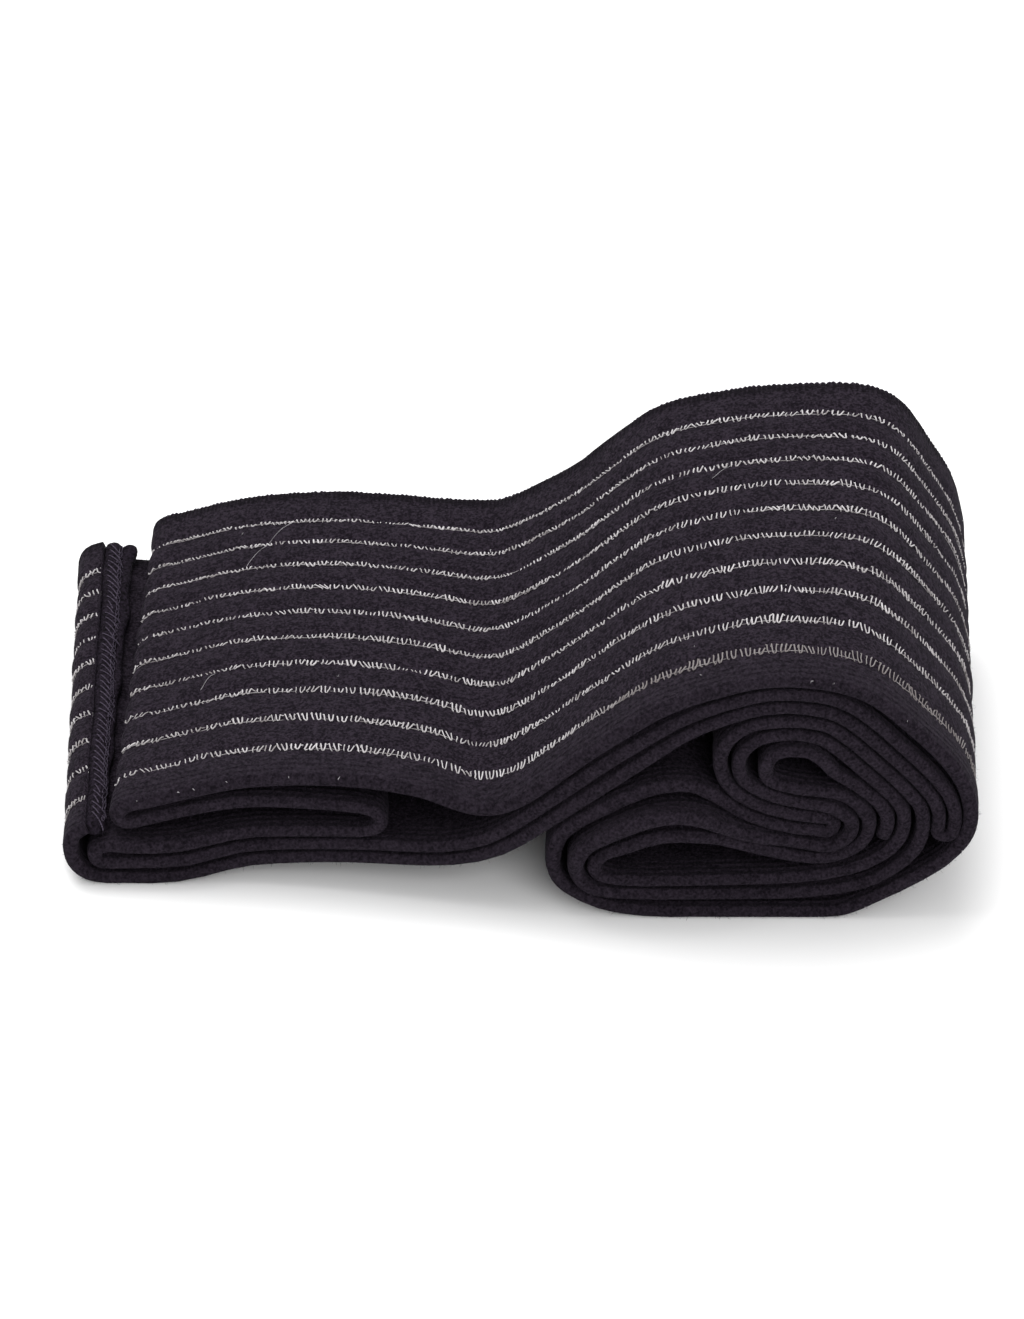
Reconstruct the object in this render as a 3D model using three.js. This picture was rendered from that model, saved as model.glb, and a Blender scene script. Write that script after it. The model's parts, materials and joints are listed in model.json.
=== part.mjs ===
// A knitted elastic compression wrap, lying folded: a coil on the right, a flat stack on the left.
// Millimetres, +Z up. X runs along the folded wrap, and Y across the width of the band.
// The band is one long strip. Its side view is a single line that never crosses itself, and
// the band is that line given a thickness and carried across the width.
import * as THREE from "three";

// The band
const BAND_WIDTH = 76;
const BAND_THICKNESS = 2.15;
const LAYER_GAP = 0.35;
const SELVEDGE_ROUND = 0.9;

// The way it lies
const STACK_LENGTH = 69;
const COIL_FORWARD = 9;
const FORWARD_START = 0.7;
const BACK_FLARE = 0.02;
const FLARE_START = 0.5;

// The overlocked end, folded back on itself
const HEM_WIDTH = 3.1;
const HEM_HEIGHT = 3.0;
const HEM_CLEARANCE = 0.3;
const HEM_INSET = 0.3;
const HEM_STATIONS = 5;
const FOLD_FACE = 0.55;
const SEAT_DEPTH = 0.7;

// The cut through the hem, as shares of its width and height.
const HEM_OUTLINE = [
  { across: 0, up: 0.12 },
  { across: 0.08, up: 0 },
  { across: 0.92, up: 0 },
  { across: 1, up: 0.14 },
  { across: 1, up: 0.6 },
  { across: 0.82, up: 0.9 },
  { across: 0.5, up: 1 },
  { across: 0.18, up: 0.92 },
  { across: 0, up: 0.7 },
];

// How the layers settle against each other
const FINE_STEP = 1.0;
const TURNBACK = 4.4;
const SETTLE_PASSES = 60;
const FIRM_PASSES = 12;
const EASE_SHARE = 0.5;
const HOME_SHARE = 0.06;
const GROUND_PRESS = 0.1;

// How finely the curves are faceted
const LONGEST_STEP = 5.0;
const LARGEST_TURN = 0.25;
const FACE_POINTS = 5;

// One layer of the folded wrap: the cloth and the slack above it
const LAYER = BAND_THICKNESS + LAYER_GAP;

// Each row is one bend of the band's middle line, from the inner end of the coil outwards.
// x and z are counted in layers, x from where the coil meets the stack and z from the ground.
// bend is the radius of the turn in layers. loft is the thickness there as a share of the
// band's. out is how far the front edge comes forward, and rise how far the back edge
// is higher than the front one, both in layers.
const COIL_CORE = [
  { x: 22.9, z: 5.9 },
  { x: 23.5, z: 8.3, bend: 2.0 },
  { x: 21.4, z: 9.9, bend: 2.5 },
  { x: 19.35, z: 11.2, bend: 1.4 },
  { x: 18.75, z: 13.25, bend: 1.2, out: 0.3 },
  { x: 15.3, z: 13.2, bend: 1.2, out: 0.3 },
  { x: 15.3, z: 9.7, bend: 1.2 },
  { x: 19.4, z: 9.7, bend: 4.0 },
  { x: 22.3, z: 8.3, bend: 1.4, out: 0.2 },
  { x: 22.0, z: 5.75, bend: 2.0 },
  { x: 19.6, z: 4.35, bend: 3.0 },
  { x: 17.3, z: 4.7, bend: 3.0, loft: 1.05 },
  { x: 13.5, z: 5.95, bend: 4.0, loft: 1.1 },
  { x: 10.6, z: 7.0, bend: 4.0, loft: 1.2, out: 0.5 },
  { x: 7.3, z: 6.2, bend: 4.0, loft: 1.15, out: 0.5 },
  { x: 4.75, z: 4.2, bend: 1.6, loft: 1.05 },
  { x: 4.8, z: 2.75, bend: 0.9, loft: 1.0 },
  { x: 8.5, z: 2.8, bend: 5.0 },
];
const COIL_MIDDLE = [
  { x: 17.6, z: 3.05, bend: 8.0 },
  { x: 21.4, z: 3.7, bend: 5.0 },
  { x: 24.1, z: 5.8, bend: 2.6 },
  { x: 24.35, z: 8.4, bend: 2.0, loft: 0.96 },
  { x: 21.3, z: 11.45, bend: 5.0 },
  { x: 18.9, z: 14.1, bend: 2.4 },
  { x: 15.0, z: 14.1, bend: 2.2 },
  { x: 13.65, z: 12.6, bend: 1.6 },
  { x: 13.6, z: 10.3, bend: 1.6 },
  { x: 15.8, z: 9.0, bend: 2.0 },
  { x: 18.5, z: 8.7, bend: 3.0 },
  { x: 21.12, z: 8.75, bend: 1.4, out: 0.3 },
  { x: 21.12, z: 5.76, bend: 1.4, out: 0.3 },
  { x: 17.6, z: 5.8, bend: 3.0 },
  { x: 13.6, z: 7.2, bend: 3.0, loft: 1.15, out: 0.6 },
  { x: 11.6, z: 8.7, bend: 4.0, loft: 1.3, out: 1.1 },
  { x: 8.0, z: 8.6, bend: 5.0, loft: 1.3, out: 1.2 },
  { x: 3.8, z: 5.45, bend: 2.0, loft: 1.15, out: 0.8 },
  { x: 3.65, z: 2.45, bend: 1.4, loft: 1.0, out: 0.3 },
  { x: 7.3, z: 1.75, bend: 4.0 },
];
const COIL_OUTER = [
  { x: 17.6, z: 1.85, bend: 8.0 },
  { x: 22.2, z: 2.5, bend: 5.0 },
  { x: 25.2, z: 5.3, bend: 3.0 },
  { x: 25.45, z: 8.5, bend: 2.4, loft: 0.96 },
  { x: 22.4, z: 11.8, bend: 5.0 },
  { x: 19.2, z: 15.2, bend: 3.2 },
  { x: 14.3, z: 15.0, bend: 2.4 },
  { x: 12.6, z: 13.2, bend: 2.2 },
  { x: 12.55, z: 10.9, bend: 2.0 },
  { x: 14.7, z: 8.35, bend: 2.4 },
  { x: 17.6, z: 7.78, bend: 3.0 },
  { x: 20.1, z: 7.78, bend: 0.5 },
  { x: 20.1, z: 6.78, bend: 0.5 },
  { x: 17.5, z: 6.78, bend: 3.0 },
  { x: 13.6, z: 8.5, bend: 3.0 },
  { x: 11.4, z: 10.35, bend: 3.0, loft: 1.15 },
  { x: 8.4, z: 10.45, bend: 3.6, loft: 1.2, out: 0.3 },
  { x: 2.75, z: 6.4, bend: 2.4, loft: 1.15 },
  { x: 2.2, z: 2.5, bend: 2.0, loft: 1.0 },
  { x: 5.8, z: 0.72, bend: 4.0 },
  { x: 9.0, z: 0.43, bend: 4.0 },
  { x: 20.6, z: 0.43, bend: 4.0 },
  { x: 27.3, z: 4.7, bend: 3.0, loft: 0.96 },
  { x: 28.4, z: 8.6, bend: 3.0, loft: 0.96 },
  { x: 26.7, z: 12.0, bend: 4.0, loft: 0.96, rise: 0.9, drift: 0.3 },
  { x: 21.4, z: 17.5, bend: 3.6, rise: 1.1, drift: 1.8 },
  { x: 15.5, z: 18.35, bend: 6.0, rise: 0.4 },
  { x: 9.3, z: 16.2, bend: 4.0, loft: 1.1, rise: 1.0 },
  { x: 4.4, z: 12.25, bend: 3.0, loft: 1.1, rise: 0.3 },
];

// Stack rows are counted from where the coil meets the stack to the left end, as a share of
// the stack's length.
const TOP_FOLD_ALONG = 0.892;
const TOP_LAYER = [
  { along: -0.005, z: 7.8, bend: 2.6, loft: 1.1, rise: 1.5 },
  { along: 0.095, z: 6.95, bend: 1.4, loft: 1.1, rise: 1.7 },
  { along: 0.155, z: 8.35, bend: 1.4, loft: 1.1, rise: 0.55 },
  { along: 0.36, z: 8.65, bend: 10.0, loft: 1.1, rise: 0.1 },
  { along: 0.6, z: 7.9, bend: 12.0, loft: 1.1, rise: -0.1 },
  { along: TOP_FOLD_ALONG, z: 5.5, bend: 0.52, loft: 1.05, rise: 0.3, drift: 1.6 },
  { along: TOP_FOLD_ALONG, z: 4.3, bend: 0.52, loft: 1.05, rise: 0.3, drift: 1.6 },
  { along: 0.72, z: 5.6, bend: 5.0, loft: 1.1, rise: -0.1, drift: 1.0 },
  { along: 0.6, z: 6.4, bend: 5.0, loft: 1.1, rise: -0.5 },
  { along: 0.28, z: 6.65, bend: 0.9, loft: 1.0 },
  { along: 0.28, z: 4.75, bend: 0.9, loft: 1.0 },
];
const STACK_FOLDS = [
  { along: 0.6, z: 3.95, bend: 6.0, loft: 1.05 },
  { along: 0.76, z: 3.05, bend: 6.0, loft: 1.15, out: 0.6 },
  { along: 0.952, z: 2.95, bend: 0.62, loft: 1.05, out: 0.4 },
  { along: 0.952, z: 1.7, bend: 0.62, loft: 1.05, out: 0.4 },
  { along: 0.74, z: 1.8, bend: 5.0, loft: 1.05, out: 0.4 },
  { along: 0.6, z: 2.85, bend: 6.0 },
  { along: 0.38, z: 3.65, bend: 8.0 },
  { along: 0.16, z: 4.15, bend: 5.0 },
  { along: 0.06, z: 4.85, bend: 4.0, loft: 1.05 },
];
const CREST_FOLD = [
  { x: 5.5, z: 11.65, bend: 7.0, loft: 1.15 },
  { x: 10.4, z: 15.35, bend: 5.0, loft: 1.05 },
  { x: 15.6, z: 17.35, bend: 6.0, rise: 0.3 },
  { x: 20.4, z: 16.6, bend: 3.6, rise: 0.6, drift: 0.6 },
  { x: 25.8, z: 10.9, bend: 4.0, loft: 0.96, rise: 0.3 },
  { x: 27.35, z: 8.6, bend: 3.0, loft: 0.96 },
  { x: 27.2, z: 5.95, bend: 0.5, loft: 0.94 },
  { x: 26.2, z: 5.95, bend: 0.5, loft: 0.94 },
  { x: 26.4, z: 8.55, bend: 2.6, loft: 0.96 },
  { x: 23.3, z: 12.2, bend: 5.0, loft: 0.96 },
  { x: 19.7, z: 16.05, bend: 3.4, rise: 0.2 },
  { x: 15.6, z: 16.35, bend: 6.0, rise: 0.2 },
  { x: 10.8, z: 14.3, bend: 5.0, loft: 1.0 },
  { x: 5.8, z: 10.2, bend: 7.0, loft: 1.15 },
];
const BOTTOM_LAYER = [
  { along: 0.03, z: 4.35, bend: 4.0, loft: 1.1 },
  { along: 0.16, z: 3.1, bend: 4.0 },
  { along: 0.38, z: 2.6, bend: 8.0 },
  { along: 0.6, z: 1.75, bend: 8.0 },
  { along: 0.74, z: 0.45, bend: 5.0, loft: 1.0, out: 0.2 },
  { along: 0.995, z: 0.45, bend: 2.4, loft: 1.0, out: 0.2, drift: -0.4 },
  { along: 0.995, z: 4.1, bend: 0.58, loft: 1.0, out: 0.2, drift: -0.4 },
];
const HEM_LAYER = { z: 4.1, out: 0.2, drift: -0.2 };

const coilRow = (row) => ({ ...row, x: row.x * LAYER });
const stackRow = (row) => ({ ...row, x: -row.along * STACK_LENGTH });

// The hem lies between the top layer's fold and the band's own end. FOLD_FACE is where the
// fold's face lies, as a share of the band's thickness from the fold's middle line.
const hemRight = -TOP_FOLD_ALONG * STACK_LENGTH - FOLD_FACE * BAND_THICKNESS - HEM_CLEARANCE;
const hemLeft = hemRight - HEM_WIDTH;
const hemRow = { ...HEM_LAYER, x: hemLeft - HEM_CLEARANCE };

const FOLDS = [
  ...COIL_CORE.map(coilRow),
  ...COIL_MIDDLE.map(coilRow),
  ...COIL_OUTER.map(coilRow),
  ...TOP_LAYER.map(stackRow),
  ...STACK_FOLDS.map(stackRow),
  ...CREST_FOLD.map(coilRow),
  ...BOTTOM_LAYER.map(stackRow),
  hemRow,
].map((row) => ({
  at: new THREE.Vector2(row.x, row.z * LAYER),
  bend: (row.bend ?? 0) * LAYER,
  thickness: (row.loft ?? 1) * BAND_THICKNESS,
  out: (row.out ?? 0) * LAYER,
  rise: (row.rise ?? 0) * LAYER,
  drift: (row.drift ?? 0) * LAYER,
}));

const smooth = (t) => {
  const s = THREE.MathUtils.clamp(t, 0, 1);
  return s * s * (3 - 2 * s);
};

// The arc that rounds one bend: its two ends, and where it runs between them.
function bendArc(before, row, after) {
  const arrive = row.at.clone().sub(before.at);
  const leave = after.at.clone().sub(row.at);
  const turn = Math.atan2(arrive.cross(leave), arrive.dot(leave));
  const wanted = row.bend * Math.tan(Math.abs(turn) / 2);
  const cut = Math.min(wanted, 0.5 * arrive.length(), 0.5 * leave.length());
  const radius = cut / Math.tan(Math.abs(turn) / 2);
  const start = row.at.clone().addScaledVector(arrive.normalize(), -cut);
  return { start, heading: arrive.angle(), turn, radius, length: radius * Math.abs(turn) };
}

function alongArc(arc, share) {
  const side = Math.sign(arc.turn);
  const angle = arc.heading + arc.turn * share;
  return new THREE.Vector2(
    arc.start.x + side * arc.radius * (Math.sin(angle) - Math.sin(arc.heading)),
    arc.start.y - side * arc.radius * (Math.cos(angle) - Math.cos(arc.heading)),
  );
}

// The middle line as it is folded by the rows, rounded at each bend.
function foldedLine(rows) {
  const line = [{ ...rows[0] }];
  const reach = (at, row) => {
    const last = line[line.length - 1];
    const steps = Math.max(1, Math.round(at.distanceTo(last.at) / FINE_STEP));
    for (let i = 1; i <= steps; i += 1) {
      const share = i / steps;
      const mixed = { at: last.at.clone().lerp(at, share) };
      for (const key of ["thickness", "out", "rise", "drift"]) {
        mixed[key] = THREE.MathUtils.lerp(last[key], row[key], share);
      }
      line.push(mixed);
    }
  };
  for (let i = 1; i < rows.length - 1; i += 1) {
    const arc = bendArc(rows[i - 1], rows[i], rows[i + 1]);
    reach(arc.start, rows[i]);
    const steps = Math.max(1, Math.round(arc.length / FINE_STEP));
    for (let k = 1; k <= steps; k += 1) {
      line.push({ ...rows[i], at: alongArc(arc, k / steps) });
    }
  }
  reach(rows[rows.length - 1].at, rows[rows.length - 1]);
  return line;
}

// Layers that came out too close push each other apart, as cloth does, and the line
// between them eases into smooth curves that stay near where the rows put it.
function settle(line) {
  const home = line.map((station) => station.at.clone());
  const apart = Math.round(TURNBACK / FINE_STEP);
  for (let pass = 0; pass < SETTLE_PASSES; pass += 1) {
    const easing = pass < SETTLE_PASSES - FIRM_PASSES;
    if (easing) {
      const eased = line.map((station, i) => {
        if (i === 0 || i === line.length - 1) return station.at.clone();
        const middle = line[i - 1].at.clone().add(line[i + 1].at).multiplyScalar(0.5);
        return station.at.clone().lerp(middle, EASE_SHARE).lerp(home[i], HOME_SHARE);
      });
      line.forEach((station, i) => station.at.copy(eased[i]));
    }
    for (let i = 0; i < line.length; i += 1) {
      for (let j = i + apart; j < line.length; j += 1) {
        const dx = line[j].at.x - line[i].at.x;
        const dz = line[j].at.y - line[i].at.y;
        const wanted = (line[i].thickness + line[j].thickness) / 2 + LAYER_GAP;
        const distance = Math.hypot(dx, dz);
        if (distance < wanted) {
          const push = (wanted - distance) / (2 * distance);
          line[i].at.x -= dx * push;
          line[i].at.y -= dz * push;
          line[j].at.x += dx * push;
          line[j].at.y += dz * push;
        }
      }
    }
    for (const station of line) {
      const lying = station.thickness / 2;
      if (station.at.y < lying + GROUND_PRESS) station.at.y = lying;
    }
  }
  return line;
}

// Keeps only the stations that the facets need.
function thinned(line) {
  const kept = [line[0]];
  const heading = (i) => line[Math.min(i + 1, line.length - 1)].at.clone()
    .sub(line[Math.max(i - 1, 0)].at).angle();
  let turned = 0;
  for (let i = 1; i < line.length - 1; i += 1) {
    turned += Math.abs(Math.sin(heading(i) - heading(i - 1)));
    const gone = line[i + 1].at.distanceTo(kept[kept.length - 1].at);
    if (turned > LARGEST_TURN || gone > LONGEST_STEP) {
      kept.push(line[i]);
      turned = 0;
    }
  }
  kept.push(line[line.length - 1]);
  return kept;
}

// Where a point of the side view goes when it is carried across the width by share 0 to 1.
// The coil lies further forward than the stack and grows a little towards the back, and both
// set in gradually along the stack.
function placed(x, z, share, station) {
  const forward = COIL_FORWARD * smooth(x / STACK_LENGTH + FORWARD_START) + station.out;
  const flare = 1 + BACK_FLARE * share * smooth(x / STACK_LENGTH + FLARE_START);
  return new THREE.Vector3(
    x * flare + station.drift * share,
    share * BAND_WIDTH - forward,
    z * flare + station.rise * share * smooth(z / LAYER),
  );
}

// The cut through the band, as points of width share and height share, with round selvedges.
function bandSection() {
  const edge = SELVEDGE_ROUND / BAND_WIDTH;
  const face = [];
  for (let i = 0; i < FACE_POINTS; i += 1) {
    face.push(THREE.MathUtils.lerp(edge, 1 - edge, i / (FACE_POINTS - 1)));
  }
  const upper = face.map((across) => ({ across, up: 0.5 }));
  const lower = face.toReversed().map((across) => ({ across, up: -0.5 }));
  return [{ across: 0, up: 0 }, ...upper, { across: 1, up: 0 }, ...lower];
}

function bandRing(station, ahead, section) {
  const normal = new THREE.Vector2(-ahead.y, ahead.x);
  return section.map(({ across, up }) => {
    const at = station.at.clone().addScaledVector(normal, up * station.thickness);
    return placed(at.x, at.y, across, station);
  });
}

// One closed skin over rings of points, with a flat cap at each end.
function skinOverRings(rings) {
  const count = rings[0].length;
  const positions = rings.flat().flatMap((point) => point.toArray());
  const faces = [];
  for (let r = 0; r < rings.length - 1; r += 1) {
    for (let i = 0; i < count; i += 1) {
      const a = r * count + i;
      const b = r * count + ((i + 1) % count);
      faces.push(a, a + count, b, b, a + count, b + count);
    }
  }
  const last = (rings.length - 1) * count;
  for (let i = 1; i < count - 1; i += 1) {
    faces.push(0, i, i + 1, last, last + i + 1, last + i);
  }
  const geometry = new THREE.BufferGeometry();
  geometry.setAttribute("position", new THREE.Float32BufferAttribute(positions, 3));
  geometry.setIndex(faces);
  geometry.computeVertexNormals();
  return geometry;
}

// The band. Its last end lies level, beside the hem.
function elasticBand(line) {
  const stations = thinned(line);
  const section = bandSection();
  const level = new THREE.Vector2(1, 0);
  const rings = stations.map((station, i) => {
    if (i === stations.length - 1) return bandRing(station, level, section);
    const before = stations[Math.max(i - 1, 0)].at;
    const after = stations[i + 1].at;
    return bandRing(station, after.clone().sub(before).normalize(), section);
  });
  return skinOverRings(rings);
}

// The top of the layer that the hem lies on, SEAT_DEPTH layers or more below the hem's own.
function seatUnderHem(line) {
  const below = (hemRow.z - SEAT_DEPTH) * LAYER;
  const under = line.filter(({ at, thickness }) => (
    at.x > hemLeft - thickness && at.x < hemRight + thickness && at.y < below
  ));
  return Math.max(...under.map(({ at, thickness }) => at.y + thickness / 2));
}

// The end of the band turned back and bound, a low ridge beside the last stripe.
function endHem(line) {
  const foot = seatUnderHem(line) + HEM_CLEARANCE;
  const station = { out: hemRow.out * LAYER, rise: 0, drift: 0 };
  const inset = HEM_INSET / BAND_WIDTH;
  const rings = [];
  for (let i = 0; i < HEM_STATIONS; i += 1) {
    const share = THREE.MathUtils.lerp(inset, 1 - inset, i / (HEM_STATIONS - 1));
    rings.push(HEM_OUTLINE.map(({ across, up }) => (
      placed(hemLeft + across * HEM_WIDTH, foot + up * HEM_HEIGHT, share, station)
    )));
  }
  return skinOverRings(rings);
}

const knit = new THREE.MeshStandardMaterial({ color: 0x26242c, roughness: 0.95, metalness: 0 });
const binding = new THREE.MeshStandardMaterial({ color: 0x2f2c35, roughness: 0.9, metalness: 0 });

const settledLine = settle(foldedLine(FOLDS));
const band = new THREE.Mesh(elasticBand(settledLine), knit);
band.name = "elastic_band";
const hem = new THREE.Mesh(endHem(settledLine), binding);
hem.name = "end_hem";

const wrap = new THREE.Group();
wrap.add(band, hem);
const bounds = new THREE.Box3().setFromObject(wrap);
const middle = bounds.getCenter(new THREE.Vector3());
wrap.position.set(-middle.x, -middle.y, -bounds.min.z);

export default wrap;
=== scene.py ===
import json
import math
import random

import bmesh
import bpy
import numpy as np
from bpy.props import FloatProperty, FloatVectorProperty, IntProperty, PointerProperty
from mathutils import Matrix, Vector

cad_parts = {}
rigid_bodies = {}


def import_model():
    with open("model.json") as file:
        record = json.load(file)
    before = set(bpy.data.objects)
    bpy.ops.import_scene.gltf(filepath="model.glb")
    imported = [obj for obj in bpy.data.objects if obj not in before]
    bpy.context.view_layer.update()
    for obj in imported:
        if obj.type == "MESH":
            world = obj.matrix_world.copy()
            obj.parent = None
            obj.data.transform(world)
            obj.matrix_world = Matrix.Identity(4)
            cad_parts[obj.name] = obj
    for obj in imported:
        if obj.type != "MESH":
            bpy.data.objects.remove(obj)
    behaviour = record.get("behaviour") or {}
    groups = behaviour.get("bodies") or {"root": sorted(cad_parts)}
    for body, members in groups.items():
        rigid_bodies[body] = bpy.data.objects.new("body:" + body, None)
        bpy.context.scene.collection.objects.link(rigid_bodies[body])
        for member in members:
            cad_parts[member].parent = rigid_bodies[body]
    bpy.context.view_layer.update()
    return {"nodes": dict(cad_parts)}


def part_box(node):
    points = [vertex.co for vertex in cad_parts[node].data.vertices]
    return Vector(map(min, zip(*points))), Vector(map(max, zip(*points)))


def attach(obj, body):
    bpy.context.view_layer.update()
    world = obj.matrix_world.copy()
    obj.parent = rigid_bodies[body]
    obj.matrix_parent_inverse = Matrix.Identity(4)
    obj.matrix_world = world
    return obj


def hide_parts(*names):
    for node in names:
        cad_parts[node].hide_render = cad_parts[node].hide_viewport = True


# A long knitted elastic wrap with zigzag stripes, lying part coiled and part folded flat.
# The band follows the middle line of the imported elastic_band, so each fold stays where it is.
# Everything is in metres. "along" runs from the coil's inner end to the hem, and "across"
# from the front selvedge to the back one.
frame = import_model()

bl_info = {
    "name": "Folded compression wrap",
    "version": (1, 0, 0),
    "blender": (4, 5, 0),
    "location": "View3D > Sidebar > Wrap",
    "description": "Knitted band, zigzag stripes, overlocked hem and loose fibres of a folded wrap",
    "category": "Object",
}

MM = 0.001

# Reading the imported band: how near corners are merged, and how many edges meet inside it
MERGE_DISTANCE = 0.002 * MM
INNER_EDGES = 6

# The two faces of the band: the lower one comes out on top of the stack and the coil
TOP_FACE, LOOP_FACE = -1, 1

# How finely the band is meshed
LINE_STEP = 0.25 * MM
SHOWN_STEP = 1.0 * MM
HIDDEN_STEP = 4.0 * MM
HIDDEN_TURN = 0.16
COLUMNS_PER_PITCH = 6
SELVEDGE_COLUMNS = 4

# The lowest that cloth and fibres reach, and below what height a layer lies on the floor
CLOTH_BOTTOM = 0.03 * MM
FIBRE_BOTTOM = 0.05 * MM
FLOOR_LAYER = 3.0 * MM

# How far before its turn the left loop comes into view, the length over which a face goes
# from folded in to seen, and the share of its puff that it keeps where it is folded in
LOOP_SHOWN = 9.0 * MM
SHOWN_RAMP = 3.0 * MM
FOLDED_SWELL = 0.25

# The cloth's large and small lumps, and the chance grid that they are drawn from
LARGE_LUMP = 5.5 * MM
SMALL_LUMP = 2.1 * MM
SMALL_SHARE = 0.6
LUMP_GRID = (997, 61)

# Over what length the top layer's changes of slope are rounded, and how that sets in
SOFT_SPREAD = 2.2 * MM
SOFT_RAMP = 8.0 * MM
SOFT_SAMPLES = 25

# How far the band's end runs on into the ridge of its hem
END_TUCK = 0.9 * MM

# The yarn's tube, and how deep it dips where it ends, in its own radii
YARN_SIDES = 6
SUNK = 4.0

# Where the top layer dips at the crease, and how wide the bunched yarn is there
CREASE_X = -11.5 * MM
CREASE_WIDTH = 2.6 * MM

# Where the top layer climbs from the stack to the coil
RISE_X = 11.0 * MM
RISE_WIDTH = 11.0 * MM

# Where the stripes change along the top layer, and over what length: how far past the crest
# the stack starts and the greyer front stripe ends, how far before it the coil's right side starts,
# and how far before the left fold the zigzag narrows and turns grey with painted shade
STACK_START, STACK_RAMP = 32 * MM, 26 * MM
FRONT_GREY_END, FRONT_GREY_RAMP = 42 * MM, 16 * MM
RIGHT_START, RIGHT_RAMP = 12 * MM, 14 * MM
NARROW_BEFORE, GREY_BEFORE, FOLD_RAMP = 32 * MM, 26 * MM, 18 * MM

# Where the stripes start and end, from the ends of the top layer and of the left loop
TOP_STRIPE_ENDS = (-4.0 * MM, -0.3 * MM)
LOOP_STRIPE_ENDS = (1.5 * MM, -0.1 * MM)

# The front stripe's width as a share of the set one, and what the coil's front stripe adds
FRONT_REACH = 1.15
COIL_EXTRA = 0.25

# How much thinner the yarn is on the coil's right side
THIN_ON_RIGHT = 0.22

# How unevenly the yarn is laid. slant is a stroke's mean lean, and the rest are spreads: up to
# lean as shares of a repeat, then of half the zigzag, and lift and thick of the yarn's radius.
UNEVEN = {
    "start": 0.8, "repeat": 0.05, "point": 0.018, "slant": -0.02, "lean": 0.06,
    "reach": 0.16, "across": 0.06, "lift": 0.25, "thick": 0.13,
}
YARN_DRIFT = 0.10 * MM

# How white the yarn is: the mean, how much each repeat and each point differs, the least, and
# what it loses on the coil's front stripe, and as painted shade on the coil's right side and near
# the left fold
WHITENESS = {
    "mean": 0.77, "repeat": 0.16, "point": 0.17, "least": 0.15,
    "front_stripe": 0.80, "right": 0.22, "fold": 0.18,
}

# How far a yarn gets thinner or thicker at most, as shares of its radius
THICK_LIMITS = (0.7, 2.2)

# The carrier thread: its steps, the lengths over which it drifts and dips, how far off the
# stripe's middle it lies in half zigzags, how high in its own radii, and how white it is, with
# painted shade where it dips into the pile
CARRIER = {
    "step": 0.35 * MM, "drift_length": 2.4 * MM, "dip_length": 1.3 * MM,
    "off": 0.25, "drift": 0.2, "lift": 0.35, "dip": 1.5, "white": 0.42, "shade": 0.2, "uneven": 0.08,
}
CARRIER_WHITE_LIMITS = (0.1, 0.8)

# Each piece that is laid by chance has a seed of its own, and a carrier's dips a later one
SEEDS = {
    "stripe_yarn": 11, "loop_stripe_yarn": 12, "stripe_carrier": 51, "loop_stripe_carrier": 52,
    "hem_ridge": 21, "hem_lip": 22, "overlock_stitches": 5, "looper_thread": 8,
    "raised_nap": 31, "edge_picots": 33, "lint_specks": 35,
}
DIP_SEED = 20

# The pile's noises for each metre of cloth, its slanting streaks for each millimetre, and in
# millimetres half a rib at the back selvedge and half a knitted row at the front one
CLUMPS, TUFTS, PATCHES = 2300.0, 1050.0, 260.0
STREAKS = 1.3
HALF_RIB, HALF_ROW = 0.37, 0.62

# The yarn's plies, painted darker between them as shade, and its soiled places, for each metre
PLIES, SOILED = 5200.0, 900.0

# Threads and loose fibres: the dark and the light shade of each as shares of its colour, its
# grain for each metre, and how deep that is
FIBRES = {
    "hem_cloth": {"dark": 0.25, "light": 2.0, "grain": 1900.0, "relief": 0.6 * MM},
    "overlock_thread": {"dark": 0.45, "light": 1.3, "grain": 4000.0, "relief": 0.1 * MM},
    "nap_fibre": {"dark": 0.6, "light": 1.5, "grain": 900.0, "relief": 0.02 * MM},
    "stray_hair": {"dark": 0.35, "light": 0.8, "grain": 700.0, "relief": 0.02 * MM},
    "lint": {"dark": 0.4, "light": 1.0, "grain": 2500.0, "relief": 0.02 * MM},
}

# Slow waves along the hem, that keep its sections from being alike: how far each one turns
# over the whole hem, where it starts, and its size
HEM_WAVES = {
    "ridge_sway": {"turn": 19.0, "start": 0.0, "size": 0.12 * MM},
    "ridge_shake": {"turn": 47.0, "start": 1.0, "size": 0.06 * MM},
    "ridge_width": {"turn": 31.0, "start": 0.0, "size": 0.05},
    "ridge_height": {"turn": 23.0, "start": 2.0, "size": 0.03},
    "lip_width": {"turn": 27.0, "start": 0.0, "size": 0.16},
    "lip_height": {"turn": 38.0, "start": 1.0, "size": 0.07},
    "lip_sway": {"turn": 52.0, "start": 0.0, "size": 0.14 * MM},
}

# The loose fold beside the ridge: its width in front, how far it starts inside the ridge, and
# how much wider it is made so that it stays joined
LIP_FRONT = 0.12 * MM
LIP_INSIDE = 0.30 * MM
LIP_JOINED = 0.15 * MM

# A roll of cloth: its rows and sides, the length of its rounded end, the share of its section
# at the very end, how round it is across and upwards, and how rough
ROLL_ROWS, ROLL_SIDES = 220, 28
ROLL_ROUNDING = 1.3 * MM
ROLL_TIP = 0.12
ROLL_ROUND_ACROSS, ROLL_ROUND_UP = 0.85, 0.9
ROLL_ROUGH = 0.05

# Where a stitch's ring is cut off, as shares of its radius: what dips into the hem below, and
# what would reach over its far side
STITCH_CUTS = [
    {"at": (0.0, 0.0, 0.05), "keeps": (0.0, 0.0, 1.0)},
    {"at": (-0.35, 0.0, 0.0), "keeps": (1.0, 0.0, 0.0)},
]
STITCH_CHANCE = 0.11

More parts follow.
